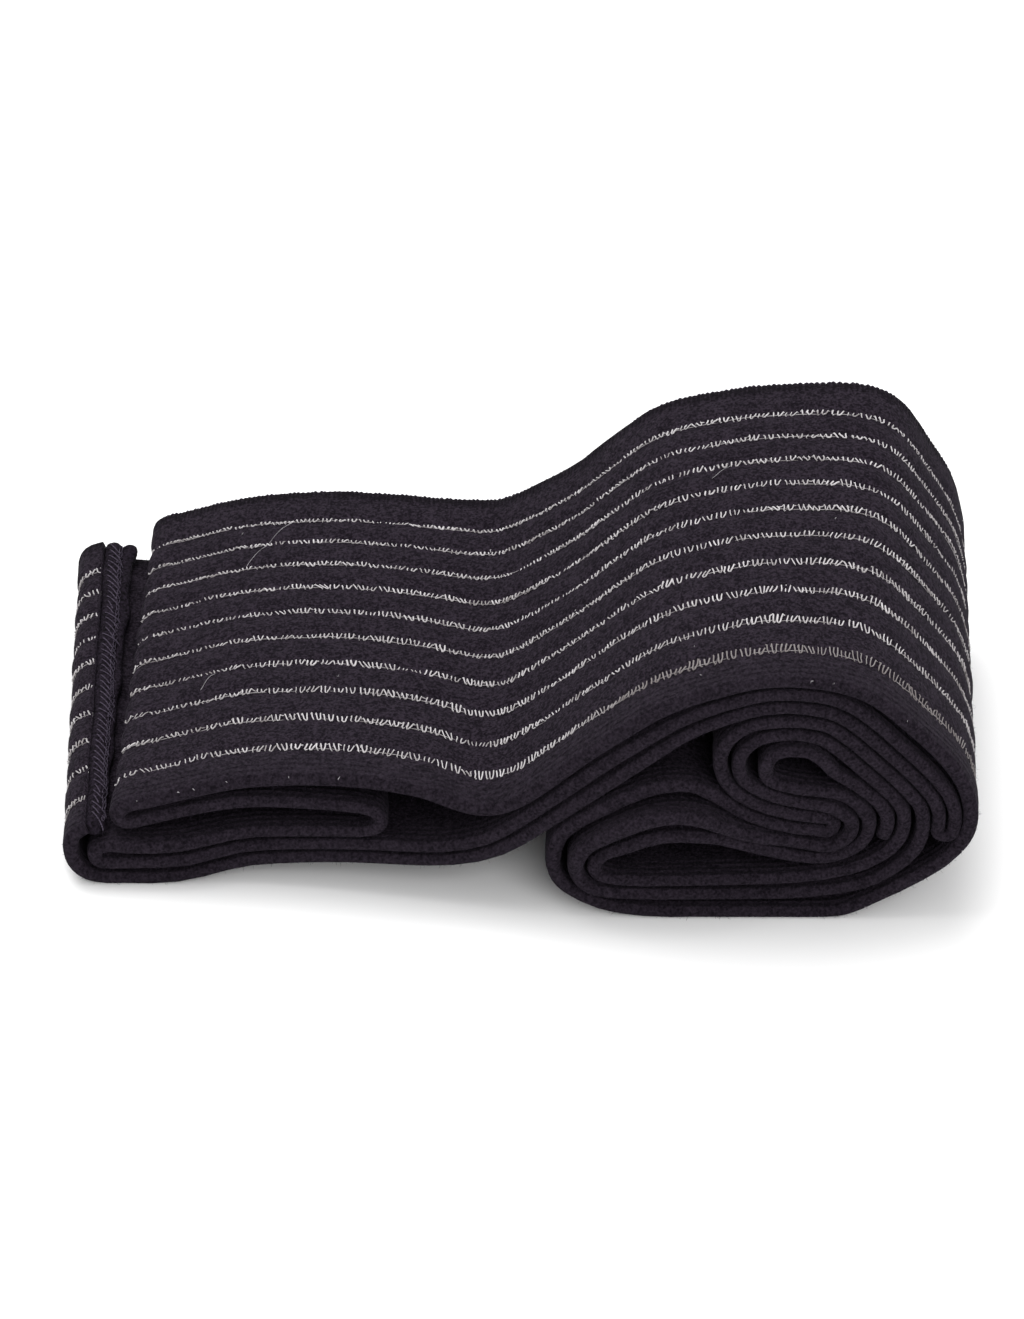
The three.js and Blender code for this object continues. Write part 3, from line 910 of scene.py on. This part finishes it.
class WRAP_OT_elastic_band(bpy.types.Operator):
    """Adds the knitted band: one strip, puffed between its stripes, with soft selvedges."""

    bl_idname = "wrap.elastic_band"
    bl_label = "Elastic band"

    def execute(self, context):
        knit = context.scene.wrap_knit
        band = BandSurface(knit)
        rows = band.rows()
        columns = band.columns()
        inner = columns[1:-1]
        across = np.concatenate([columns, inner[::-1]])
        face = np.concatenate([np.full(len(columns), LOOP_FACE), np.full(len(inner), TOP_FACE)])
        ring = len(across)
        along = np.repeat(rows, ring)
        across = np.tile(across, len(rows))
        face = np.tile(face, len(rows))
        points, _ = band.over(along, across, face, 0.0)
        points[:, 2] = np.maximum(points[:, 2], CLOTH_BOTTOM)

        index = np.arange(len(rows) * ring).reshape(len(rows), ring)
        after = np.roll(index, -1, axis=1)
        quads = np.stack([index[:-1], index[1:], after[1:], after[:-1]], axis=-1).reshape(-1, 4)
        faces = [tuple(quad) for quad in quads.tolist()]
        faces += self.cap(index[0], len(columns), False)
        faces += self.cap(index[-1], len(columns), True)
        piece = new_piece("knitted_band", points, faces, knit_material(band.width / MM))
        self.add_cloth_map(piece, along, across)
        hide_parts("elastic_band")
        return {"FINISHED"}

    @staticmethod
    def cap(ring, upper, flip):
        """Closes one end of the band with quads between its two faces."""
        top = ring[:upper]
        bottom = np.concatenate([[ring[0]], ring[upper:][::-1], [ring[upper - 1]]])
        faces = []
        for i in range(upper - 1):
            quad = [int(top[i]), int(top[i + 1]), int(bottom[i + 1]), int(bottom[i])]
            quad = list(dict.fromkeys(quad))
            faces.append(tuple(reversed(quad)) if flip else tuple(quad))
        return faces

    @staticmethod
    def add_cloth_map(piece, along, across):
        """A UV map in millimetres along and across the cloth."""
        mesh = piece.data
        corners = np.empty(len(mesh.loops), int)
        mesh.loops.foreach_get("vertex_index", corners)
        layer = mesh.uv_layers.new(name="cloth")
        places = np.stack([along[corners], across[corners]], axis=1) / MM
        layer.data.foreach_set("uv", places.astype(np.float32).ravel())


class WRAP_OT_stripe_yarn(bpy.types.Operator):
    """Adds the zigzag yarn of each stripe where the band's face is seen."""

    bl_idname = "wrap.stripe_yarn"
    bl_label = "Stripe yarn"

    def execute(self, context):
        band = BandSurface(context.scene.wrap_knit)
        top = (band.top_start + TOP_STRIPE_ENDS[0], band.top_end + TOP_STRIPE_ENDS[1])
        loop = (band.loop_start + LOOP_STRIPE_ENDS[0], band.length + LOOP_STRIPE_ENDS[1])
        yarn = context.scene.wrap_yarn
        self.add_stripes(yarn, band, "stripe_yarn", TOP_FACE, top)
        self.add_carriers(yarn, band, "stripe_carrier", TOP_FACE, top)
        self.add_stripes(yarn, band, "loop_stripe_yarn", LOOP_FACE, loop)
        self.add_carriers(yarn, band, "loop_stripe_carrier", LOOP_FACE, loop)
        return {"FINISHED"}

    def add_stripes(self, yarn, band, name, face, stretch):
        """One zigzag yarn over each stripe, from one end of the stretch to the other."""
        chance = np.random.default_rng(SEEDS[name])
        shape = {key: np.array([row[key] for row in YARN_REPEAT]) for key in YARN_REPEAT[0]}
        points = len(YARN_REPEAT)
        repeat = yarn.repeat * (1.0 if face == TOP_FACE else yarn.loop_repeat)
        repeats = math.ceil((stretch[1] - stretch[0]) / repeat)
        each = (repeats, 1)
        every = (repeats, points)
        tubes = []
        for stripe, centre in enumerate(band.stripe_places):
            start = stretch[0] + chance.uniform(0.0, UNEVEN["start"]) * repeat
            unit = np.arange(repeats)[:, None] + chance.normal(0.0, UNEVEN["repeat"], each)
            steps = unit + shape["along"] + chance.normal(0.0, UNEVEN["point"], every)
            steps = steps + chance.normal(UNEVEN["slant"], UNEVEN["lean"], each) * shape["across"]
            along = (start + steps * repeat).ravel()
            reach = yarn.reach * self.relaxed(yarn, band, stripe, start + unit * repeat, face)
            reach = reach * (1.0 + chance.normal(0.0, UNEVEN["reach"], each))
            shift = YARN_DRIFT * chance.normal(0.0, 1.0, each)
            sway = shape["across"] + chance.normal(0.0, UNEVEN["across"], every)
            across = (centre + shift + reach * sway).ravel()
            rise = shape["lift"] + chance.normal(0.0, UNEVEN["lift"], every)
            lift = (yarn.stand + yarn.radius * rise).ravel()
            lift = np.where(along > stretch[1], -SUNK * yarn.radius, lift)
            along = np.minimum(along, stretch[1])
            path, out = band.over(along, across, face, lift)
            thick = np.repeat(1.0 + chance.normal(0.0, UNEVEN["thick"], repeats), points)
            thick = thick * (1.0 - THIN_ON_RIGHT * band.on_right(along))
            if face == TOP_FACE and centre == band.stripe_places[-1]:
                from_crease = (band.x_at(along) - CREASE_X) / CREASE_WIDTH
                thick = thick + yarn.bunch * np.exp(-(from_crease**2))
            radius = yarn.radius * np.clip(thick, *THICK_LIMITS)
            white = self.yarn_whiteness_and_shade(band, stripe, along, chance, repeats, points)
            tubes.append((path, out, radius, white))
        self.add_tubes(name, tubes)

    def add_carriers(self, yarn, band, name, face, stretch):
        """A thin thread along each stripe, that holds the zigzag and half sinks in the cloth."""
        seed = SEEDS[name]
        chance = np.random.default_rng(seed)
        along = np.arange(stretch[0], stretch[1], CARRIER["step"])
        level = np.zeros(len(along))
        radius = np.full(len(along), yarn.carrier)
        tubes = []
        for stripe, centre in enumerate(band.stripe_places):
            drift = lumps(along, level, CARRIER["drift_length"], seed + stripe)
            dip = lumps(along, level, CARRIER["dip_length"], seed + DIP_SEED + stripe)
            reach = yarn.reach * self.relaxed(yarn, band, stripe, along, face)
            across = centre - (CARRIER["off"] - CARRIER["drift"] * drift) * reach
            lift = yarn.carrier * (CARRIER["lift"] + CARRIER["dip"] * dip)
            path, out = band.over(along, across, face, lift)
            # Painted shade: the carrier is darker where it dips into the pile
            white = CARRIER["white"] + CARRIER["shade"] * dip
            white = white + chance.normal(0.0, CARRIER["uneven"], len(along))
            tubes.append((path, out, radius, np.clip(white, *CARRIER_WHITE_LIMITS)))
        self.add_tubes(name, tubes)

    @staticmethod
    def add_tubes(name, tubes):
        """The yarns of all stripes as one piece, with how white each point is, painted shade included.
        """
        paths, outs, radii, whiteness_and_shade = zip(*tubes)
        points, faces = tube_mesh(paths, outs, radii, YARN_SIDES)
        points[:, 2] = np.maximum(points[:, 2], FIBRE_BOTTOM)
        material = bpy.data.materials.get("stripe_yarn") or yarn_material()
        piece = new_piece(name, points, faces, material)
        values = np.repeat(np.concatenate(whiteness_and_shade), YARN_SIDES)
        attribute = piece.data.attributes.new("whiteness_and_shade", "FLOAT", "POINT")
        attribute.data.foreach_set("value", values.astype(np.float32))

    @staticmethod
    def relaxed(yarn, band, stripe, along, face):
        """How wide the zigzag is, as a share: narrower behind, most of all on the stack, and where
        the cloth climbs to the coil, falls to its right and nears the left fold."""
        if face != TOP_FACE:
            return np.full(along.shape, yarn.loop_reach)
        on_stack = band.on_stack(along)
        behind = stripe / (len(band.stripe_places) - 1)
        narrowed = yarn.coil_reach + (yarn.back_reach - yarn.coil_reach) * on_stack
        width = FRONT_REACH - (FRONT_REACH - narrowed) * behind
        if stripe == 0:
            width = width * (1.0 + COIL_EXTRA * (1.0 - on_stack))
        climb = np.exp(-(((band.x_at(along) - RISE_X) / RISE_WIDTH) ** 2)) * (along > band.crest)
        for reach, share in (
            (yarn.slope_reach, band.on_right(along)),
            (yarn.rise_reach, climb),
            (yarn.fold_reach, band.near_fold(along, NARROW_BEFORE)),
        ):
            width = width * (1.0 - (1.0 - reach) * share)
        return width

    @staticmethod
    def yarn_whiteness_and_shade(band, stripe, along, chance, repeats, points):
        """1 for white yarn, less where it is greyer, as on the front stripe of the coil, and less again
        with painted shade on the coil's right side and near the left fold.
        """
        whiteness_and_shade = np.repeat(chance.normal(WHITENESS["mean"], WHITENESS["repeat"], repeats), points)
        whiteness_and_shade = whiteness_and_shade + chance.normal(0.0, WHITENESS["point"], repeats * points)
        whiteness_and_shade = np.clip(whiteness_and_shade, WHITENESS["least"], 1.0)
        if stripe == 0:
            front_stripe = smooth_step((band.crest + FRONT_GREY_END - along) / FRONT_GREY_RAMP)
            whiteness_and_shade = whiteness_and_shade * (1.0 - WHITENESS["front_stripe"] * front_stripe)
        # Painted shade: greyer on the coil's right side, that falls away from the crest, and near the
        # left fold, where the cloth turns under
        whiteness_and_shade = whiteness_and_shade * (1.0 - WHITENESS["right"] * band.on_right(along))
        return whiteness_and_shade * (1.0 - WHITENESS["fold"] * band.near_fold(along, GREY_BEFORE))


def bulged(part, power):
    """A sine or cosine drawn out, so that a round section gets fuller as the power gets less."""
    return math.copysign(abs(part) ** power, part)


def hem_wave(name, share):
    """How far one of the hem's slow waves is out at a share of the hem's length."""
    wave = HEM_WAVES[name]
    return wave["size"] * math.sin(share * wave["turn"] + wave["start"])


class WRAP_OT_end_hem(bpy.types.Operator):
    """Adds the end of the band, turned back as a ridge and bound with overlock stitches."""

    bl_idname = "wrap.end_hem"
    bl_label = "End hem"

    def execute(self, context):
        hem = context.scene.wrap_hem
        low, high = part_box("end_hem")
        cloth = fibre_material("hem_cloth", hem.cloth)
        thread = fibre_material("overlock_thread", hem.thread_colour)
        ridge = self.add_roll("hem_ridge", self.ridge_section, hem, low, high, cloth)
        self.add_roll("hem_lip", self.lip_section, hem, low, high, cloth)
        self.add_stitches(hem, low, high, thread)
        self.add_looper_thread(hem, low, high, thread)
        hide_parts("end_hem")
        return {"FINISHED"}

    @staticmethod
    def ridge_section(hem, low, high, share):
        """Middle, level, half width and half height of the ridge at a share of its length."""
        middle = (low.x + high.x) / 2 + hem_wave("ridge_sway", share) + hem_wave("ridge_shake", share)
        half = (high.x - low.x) / 2 * (0.95 + hem_wave("ridge_width", share))
        tall = (high.z - low.z) / 2 * (0.97 + hem_wave("ridge_height", share))
        return middle, (low.z + high.z) / 2, half, tall

    @staticmethod
    def lip_section(hem, low, high, share):
        """The same for the loose fold beside it, that widens towards the back."""
        half = (LIP_FRONT + hem.lip * share) / 2 * (1.0 + hem_wave("lip_width", share))
        tall = (high.z - low.z) / 2 * (0.55 + 0.20 * share + hem_wave("lip_height", share))
        middle = high.x - LIP_INSIDE + half + hem_wave("lip_sway", share)
        return middle, low.z + tall, half + LIP_JOINED, tall

    @staticmethod
    def add_roll(name, section, hem, low, high, cloth):
        """A soft roll of cloth along the hem, uneven and rounded at both ends."""
        length = high.y - low.y
        rounding = ROLL_ROUNDING / length
        chance = random.Random(SEEDS[name])
        points = []
        for row in range(ROLL_ROWS + 1):
            share = row / ROLL_ROWS
            middle, level, half, tall = section(hem, low, high, share)
            from_end = min(1.0, min(share, 1.0 - share) / rounding)
            end = ROLL_TIP + (1.0 - ROLL_TIP) * math.sqrt(1.0 - (1.0 - from_end) ** 2)
            for side in range(ROLL_SIDES):
                turn = 2.0 * math.pi * side / ROLL_SIDES
                x = bulged(math.cos(turn), ROLL_ROUND_ACROSS) * half * end
                z = bulged(math.sin(turn), ROLL_ROUND_UP) * tall * end
                rough = 1.0 + chance.uniform(-ROLL_ROUGH, ROLL_ROUGH)
                points.append((middle + x * rough, low.y + share * length, level + z * rough))
        faces = []
        for row in range(ROLL_ROWS):
            for side in range(ROLL_SIDES):
                a = row * ROLL_SIDES + side
                b = row * ROLL_SIDES + (side + 1) % ROLL_SIDES
                faces.append((a, a + ROLL_SIDES, b + ROLL_SIDES, b))
        faces.append(tuple(range(ROLL_SIDES)))
        faces.append(tuple(ROLL_ROWS * ROLL_SIDES + side for side in reversed(range(ROLL_SIDES))))
        return new_piece(name, points, faces, cloth)

    def add_stitches(self, hem, low, high, thread):
        """One stitch, an arc over the ridge and down beside the top fold, copied all along it."""
        deselect_all()
        bpy.ops.mesh.primitive_torus_add(
            major_segments=32, minor_segments=6, major_radius=1.0, minor_radius=1.0 / 24.0,
            rotation=(math.pi / 2, 0.0, 0.0),
        )
        stitch = bpy.context.object
        bpy.ops.object.transform_apply(location=True, rotation=True, scale=True)
        bpy.ops.object.mode_set(mode="EDIT")
        for cut in STITCH_CUTS:
            bpy.ops.mesh.select_all(action="SELECT")
            bpy.ops.mesh.bisect(
                plane_co=cut["at"], plane_no=cut["keeps"], clear_inner=True, use_fill=True
            )
        bpy.ops.object.mode_set(mode="OBJECT")
        chance = random.Random(SEEDS["overlock_stitches"])

        def placed(share):
            middle, level, half, tall = self.ridge_section(hem, low, high, share)
            turned = Matrix.Translation((middle, low.y + share * (high.y - low.y), level))
            turned = turned @ Matrix.Rotation(-hem.lean + chance.gauss(0.0, STITCH_CHANCE), 4, "Z")
            wide = (half + 0.6 * hem.thread) / math.cos(hem.lean)
            return turned @ Matrix.Diagonal((wide, wide, tall + 0.8 * hem.thread, 1.0))

        self.add_copies("overlock_stitches", stitch, hem, low, high, placed, thread)

    def add_looper_thread(self, hem, low, high, thread):
        """The looper thread's small loops, on the ridge's shoulder beside the top fold."""
        deselect_all()
        bpy.ops.mesh.primitive_torus_add(
            major_segments=14, minor_segments=5, major_radius=0.5, minor_radius=0.065,
        )
        loop = bpy.context.object
        chance = random.Random(SEEDS["looper_thread"])
        size = hem.stitch_pitch * LOOPER_SIZE

        def placed(share):
            middle, level, half, tall = self.ridge_section(hem, low, high, share)
            y = low.y + share * (high.y - low.y)
            turned = Matrix.Translation((middle + half * LOOPER_OUT, y, level + tall * LOOPER_UP))
            turned = turned @ Matrix.Rotation(LOOPER_TILT, 4, "Y")
            turned = turned @ Matrix.Rotation(LOOPER_TURN + chance.gauss(0.0, LOOPER_CHANCE), 4, "Z")
            drawn = size * chance.uniform(*LOOPER_LENGTH)
            return turned @ Matrix.Diagonal((size * LOOPER_WIDTH, drawn, size, 1.0))

        self.add_copies("looper_thread", loop, hem, low, high, placed, thread)

    @staticmethod
    def add_copies(name, model, hem, low, high, placed, thread):
        """Copies of a small model all along the hem, joined as one piece."""
        count = int((high.y - low.y) / hem.stitch_pitch)
        points, faces = [], []
        for number in range(1, count - 1):
            turned = placed((number + 0.5) / count)
            base = len(points)
            points += [turned @ vertex.co for vertex in model.data.vertices]
            faces += [tuple(base + i for i in face.vertices) for face in model.data.polygons]
        bpy.data.objects.remove(model)
        new_piece(name, points, faces, thread)


class WRAP_OT_nap(bpy.types.Operator):
    """Adds the raised nap, the small loops of the back edge, stray hairs and lint."""

    bl_idname = "wrap.nap"
    bl_label = "Nap"

    def execute(self, context):
        fibres = context.scene.wrap_fibres
        band = BandSurface(context.scene.wrap_knit)
        material = fibre_material("nap_fibre", fibres.colour)
        self.add_nap(fibres, band, material)
        self.add_picots(fibres, band, material)
        self.add_hairs(fibres, band)
        self.add_lint(fibres, band)
        return {"FINISHED"}

    @staticmethod
    def add_nap(fibres, band, material):
        """Single fibres, half of them along the selvedges and half on the top."""
        chance = np.random.default_rng(SEEDS["raised_nap"])
        count = fibres.count
        edges = count // 2
        top = count - edges
        along = np.concatenate([
            chance.uniform(0.0, band.length, edges),
            chance.uniform(band.top_start, band.top_end + 2.0 * MM, top),
        ])
        near = chance.uniform(0.0, 1.0, edges) ** 1.6 * NAP_EDGE
        near = np.where(chance.uniform(0.0, 1.0, edges) < NAP_IN_FRONT, near, band.width - near)
        across = np.concatenate([near, chance.uniform(0.0, band.width, top)])
        face = np.concatenate([
            np.where(chance.uniform(0.0, 1.0, edges) < 0.5, TOP_FACE, LOOP_FACE),
            np.full(top, TOP_FACE),
        ])
        root, out = band.over(along, across, face, -NAP_ROOT)
        outward = np.where(across < band.width / 2, -1.0, 1.0)
        edge_share = np.clip(1.0 - np.minimum(across, band.width - across) / NAP_EDGE, 0.0, 1.0)
        grow = out * (1.0 - 0.8 * edge_share)[:, None]
        grow[:, 1] += outward * edge_share
        grow += chance.normal(0.0, NAP_WILD, grow.shape)
        grow /= np.linalg.norm(grow, axis=1)[:, None]
        length = fibres.length * chance.uniform(0.25, 1.0, count) ** 1.5
        bend = chance.normal(0.0, NAP_BEND, grow.shape)
        paths = [
            root + (grow * share + bend * share**2 * 0.5) * length[:, None] for share in (0.0, 0.5, 1.0)
        ]
        paths = np.stack(paths, axis=1)
        paths[..., 2] = np.maximum(paths[..., 2], FIBRE_BOTTOM)
        outs = np.repeat(chance.normal(0.0, 1.0, (count, 1, 3)), 3, axis=1)
        radii = fibres.radius * np.array([[1.0, 0.8, 0.3]]) * chance.uniform(0.7, 1.2, (count, 1))
        add_fibres("raised_nap", paths, outs, radii, 3, material)

    @staticmethod
    def add_picots(fibres, band, material):
        """The knit's small turning loops, that stand out along the band's back edge."""
        chance = np.random.default_rng(SEEDS["edge_picots"])
        root = np.arange(band.top_start, band.top_end + 1.0 * MM, fibres.picot_pitch)
        root = root + chance.normal(0.0, PICOT_CHANCE, len(root))
        reach = fibres.picot * chance.uniform(0.3, 1.0, len(root))
        face = np.full(len(root), TOP_FACE)
        height = np.full(len(root), PICOT_HEIGHT)
        paths = []
        for share in np.linspace(0.0, 1.0, PICOT_POINTS):
            along = root + (share - 0.5) * PICOT_SPAN * fibres.picot_pitch
            across = band.width - PICOT_INSET + reach * math.sin(math.pi * share)
            path, out = band.place(along, across, face, height)
            paths.append(path)
        paths = np.stack(paths, axis=1)
        outs = np.repeat(out[:, None, :], PICOT_POINTS, axis=1)
        add_fibres("edge_picots", paths, outs, np.full(paths.shape[:2], PICOT_RADIUS), 5, material)

    @staticmethod
    def add_hairs(fibres, band):
        """A few long stray hairs lying over the stripes."""
        share = np.linspace(0.0, 1.0, HAIR_POINTS)
        bow = np.sin(math.pi * share)
        paths, outs = [], []
        for hair in STRAY_HAIRS:
            along = np.interp(hair["x"] * MM, *band.top_by_x()) + hair["length"] * MM * share
            drift = (hair["run"] * share + hair["bend"] * bow) * MM
            across = band.stripe_places[hair["stripe"]] + drift
            path, out = band.over(along, across, TOP_FACE, HAIR_LOW + HAIR_BOW * bow**2)
            paths.append(path)
            outs.append(out)
        radii = np.full((len(paths), HAIR_POINTS), HAIR_RADIUS)
        add_fibres("stray_hairs", paths, outs, radii, 4, fibre_material("stray_hair", fibres.lint))

    @staticmethod
    def add_lint(fibres, band):
        """White specks of lint here and there on the top and the front edge."""
        chance = np.random.default_rng(SEEDS["lint_specks"])
        count = fibres.specks
        along = chance.uniform(band.top_start, band.top_end, count)
        on_edge = chance.uniform(0.0, 1.0, count) < LINT_ON_EDGE
        across = np.where(on_edge, LINT_EDGE, chance.uniform(0.0, band.width, count))
        root, out = band.over(along, across, TOP_FACE, 0.05 * MM)
        run = chance.normal(0.0, LINT_REACH, (count, 3))
        paths = np.stack([root - run, root + out * LINT_HEIGHT, root + run[:, ::-1]], axis=1)
        outs = np.repeat(out[:, None, :], 3, axis=1)
        radii = np.full((count, 3), LINT_RADIUS) * chance.uniform(0.5, 1.2, (count, 1))
        add_fibres("lint_specks", paths, outs, radii, 4, fibre_material("lint", fibres.lint))


class WRAP_OT_stage(bpy.types.Operator):
    """Adds the floor, the studio light and the camera."""

    bl_idname = "wrap.stage"
    bl_label = "Stage"

    def execute(self, context):
        stage = context.scene.wrap_stage
        self.add_floor(stage)
        self.add_light(stage)
        self.add_camera(stage)
        context.scene.view_settings.view_transform = "Standard"
        return {"FINISHED"}

    @staticmethod
    def add_floor(stage):
        deselect_all()
        bpy.ops.mesh.primitive_plane_add(size=FLOOR_SIZE, location=(0.0, 0.0, 0.0))
        floor = bpy.context.object
        floor.name = "floor"
        nodes = Nodes("floor_paper")
        nodes.shader.inputs["Base Color"].default_value = opaque(stage.floor)
        nodes.shader.inputs["Roughness"].default_value = 0.9
        nodes.shader.inputs["Specular IOR Level"].default_value = 0.1
        floor.data.materials.append(nodes.material)

    @staticmethod
    def add_light(stage):
        world = bpy.data.worlds.new("even_light")
        world.use_nodes = True
        background = world.node_tree.nodes["Background"]
        background.inputs["Color"].default_value = (1.0, 1.0, 1.0, 1.0)
        background.inputs["Strength"].default_value = stage.sky
        bpy.context.scene.world = world
        for box in SOFTBOXES:
            deselect_all()
            bpy.ops.object.light_add(type="AREA", location=box["at"])
            light = bpy.context.object
            light.name = box["name"]
            light.data.size = box["size"]
            light.data.energy = box["power"]
            aim = LIGHT_TARGET - Vector(box["at"])
            light.rotation_euler = aim.to_track_quat("-Z", "Y").to_euler()

    @staticmethod
    def add_camera(stage):
        deselect_all()
        back = Vector((0.0, -math.cos(stage.elevation), math.sin(stage.elevation)))
        bpy.ops.object.camera_add(location=CAMERA_TARGET + back * stage.distance)
        camera = bpy.context.object
        camera.name = "camera"
        camera.rotation_euler = (-back).to_track_quat("-Z", "Y").to_euler()
        camera.data.sensor_width = 36.0
        camera.data.lens = stage.lens
        camera.data.clip_start = 0.05
        camera.data.clip_end = 20.0
        bpy.context.scene.camera = camera


class WRAP_PT_panel(bpy.types.Panel):
    """Lists the wrap's pieces and their sizes in the sidebar."""

    bl_idname = "WRAP_PT_panel"
    bl_label = "Folded compression wrap"
    bl_space_type = "VIEW_3D"
    bl_region_type = "UI"
    bl_category = "Wrap"

    def draw(self, context):
        for operator in OPERATORS:
            self.layout.operator(operator.bl_idname)
        for name, group in GROUPS.items():
            box = self.layout.box()
            for key in group.__annotations__:
                box.prop(getattr(context.scene, name), key)


GROUPS = {
    "wrap_knit": WrapKnit,
    "wrap_yarn": WrapYarn,
    "wrap_hem": WrapHem,
    "wrap_fibres": WrapFibres,
    "wrap_stage": WrapStage,
}
OPERATORS = [
    WRAP_OT_stage,
    WRAP_OT_elastic_band,
    WRAP_OT_stripe_yarn,
    WRAP_OT_end_hem,
    WRAP_OT_nap,
]


def register():
    for group in GROUPS.values():
        bpy.utils.register_class(group)
    for operator in OPERATORS:
        bpy.utils.register_class(operator)
    bpy.utils.register_class(WRAP_PT_panel)
    for name, group in GROUPS.items():
        setattr(bpy.types.Scene, name, PointerProperty(type=group))


def unregister():
    for name in GROUPS:
        delattr(bpy.types.Scene, name)
    bpy.utils.unregister_class(WRAP_PT_panel)
    for operator in reversed(OPERATORS):
        bpy.utils.unregister_class(operator)
    for group in reversed(GROUPS.values()):
        bpy.utils.unregister_class(group)


def main():
    register()
    bpy.ops.wrap.stage()
    bpy.ops.wrap.elastic_band()
    bpy.ops.wrap.stripe_yarn()
    bpy.ops.wrap.end_hem()
    bpy.ops.wrap.nap()
    bpy.context.view_layer.update()


if __name__ == "__main__":
    main()
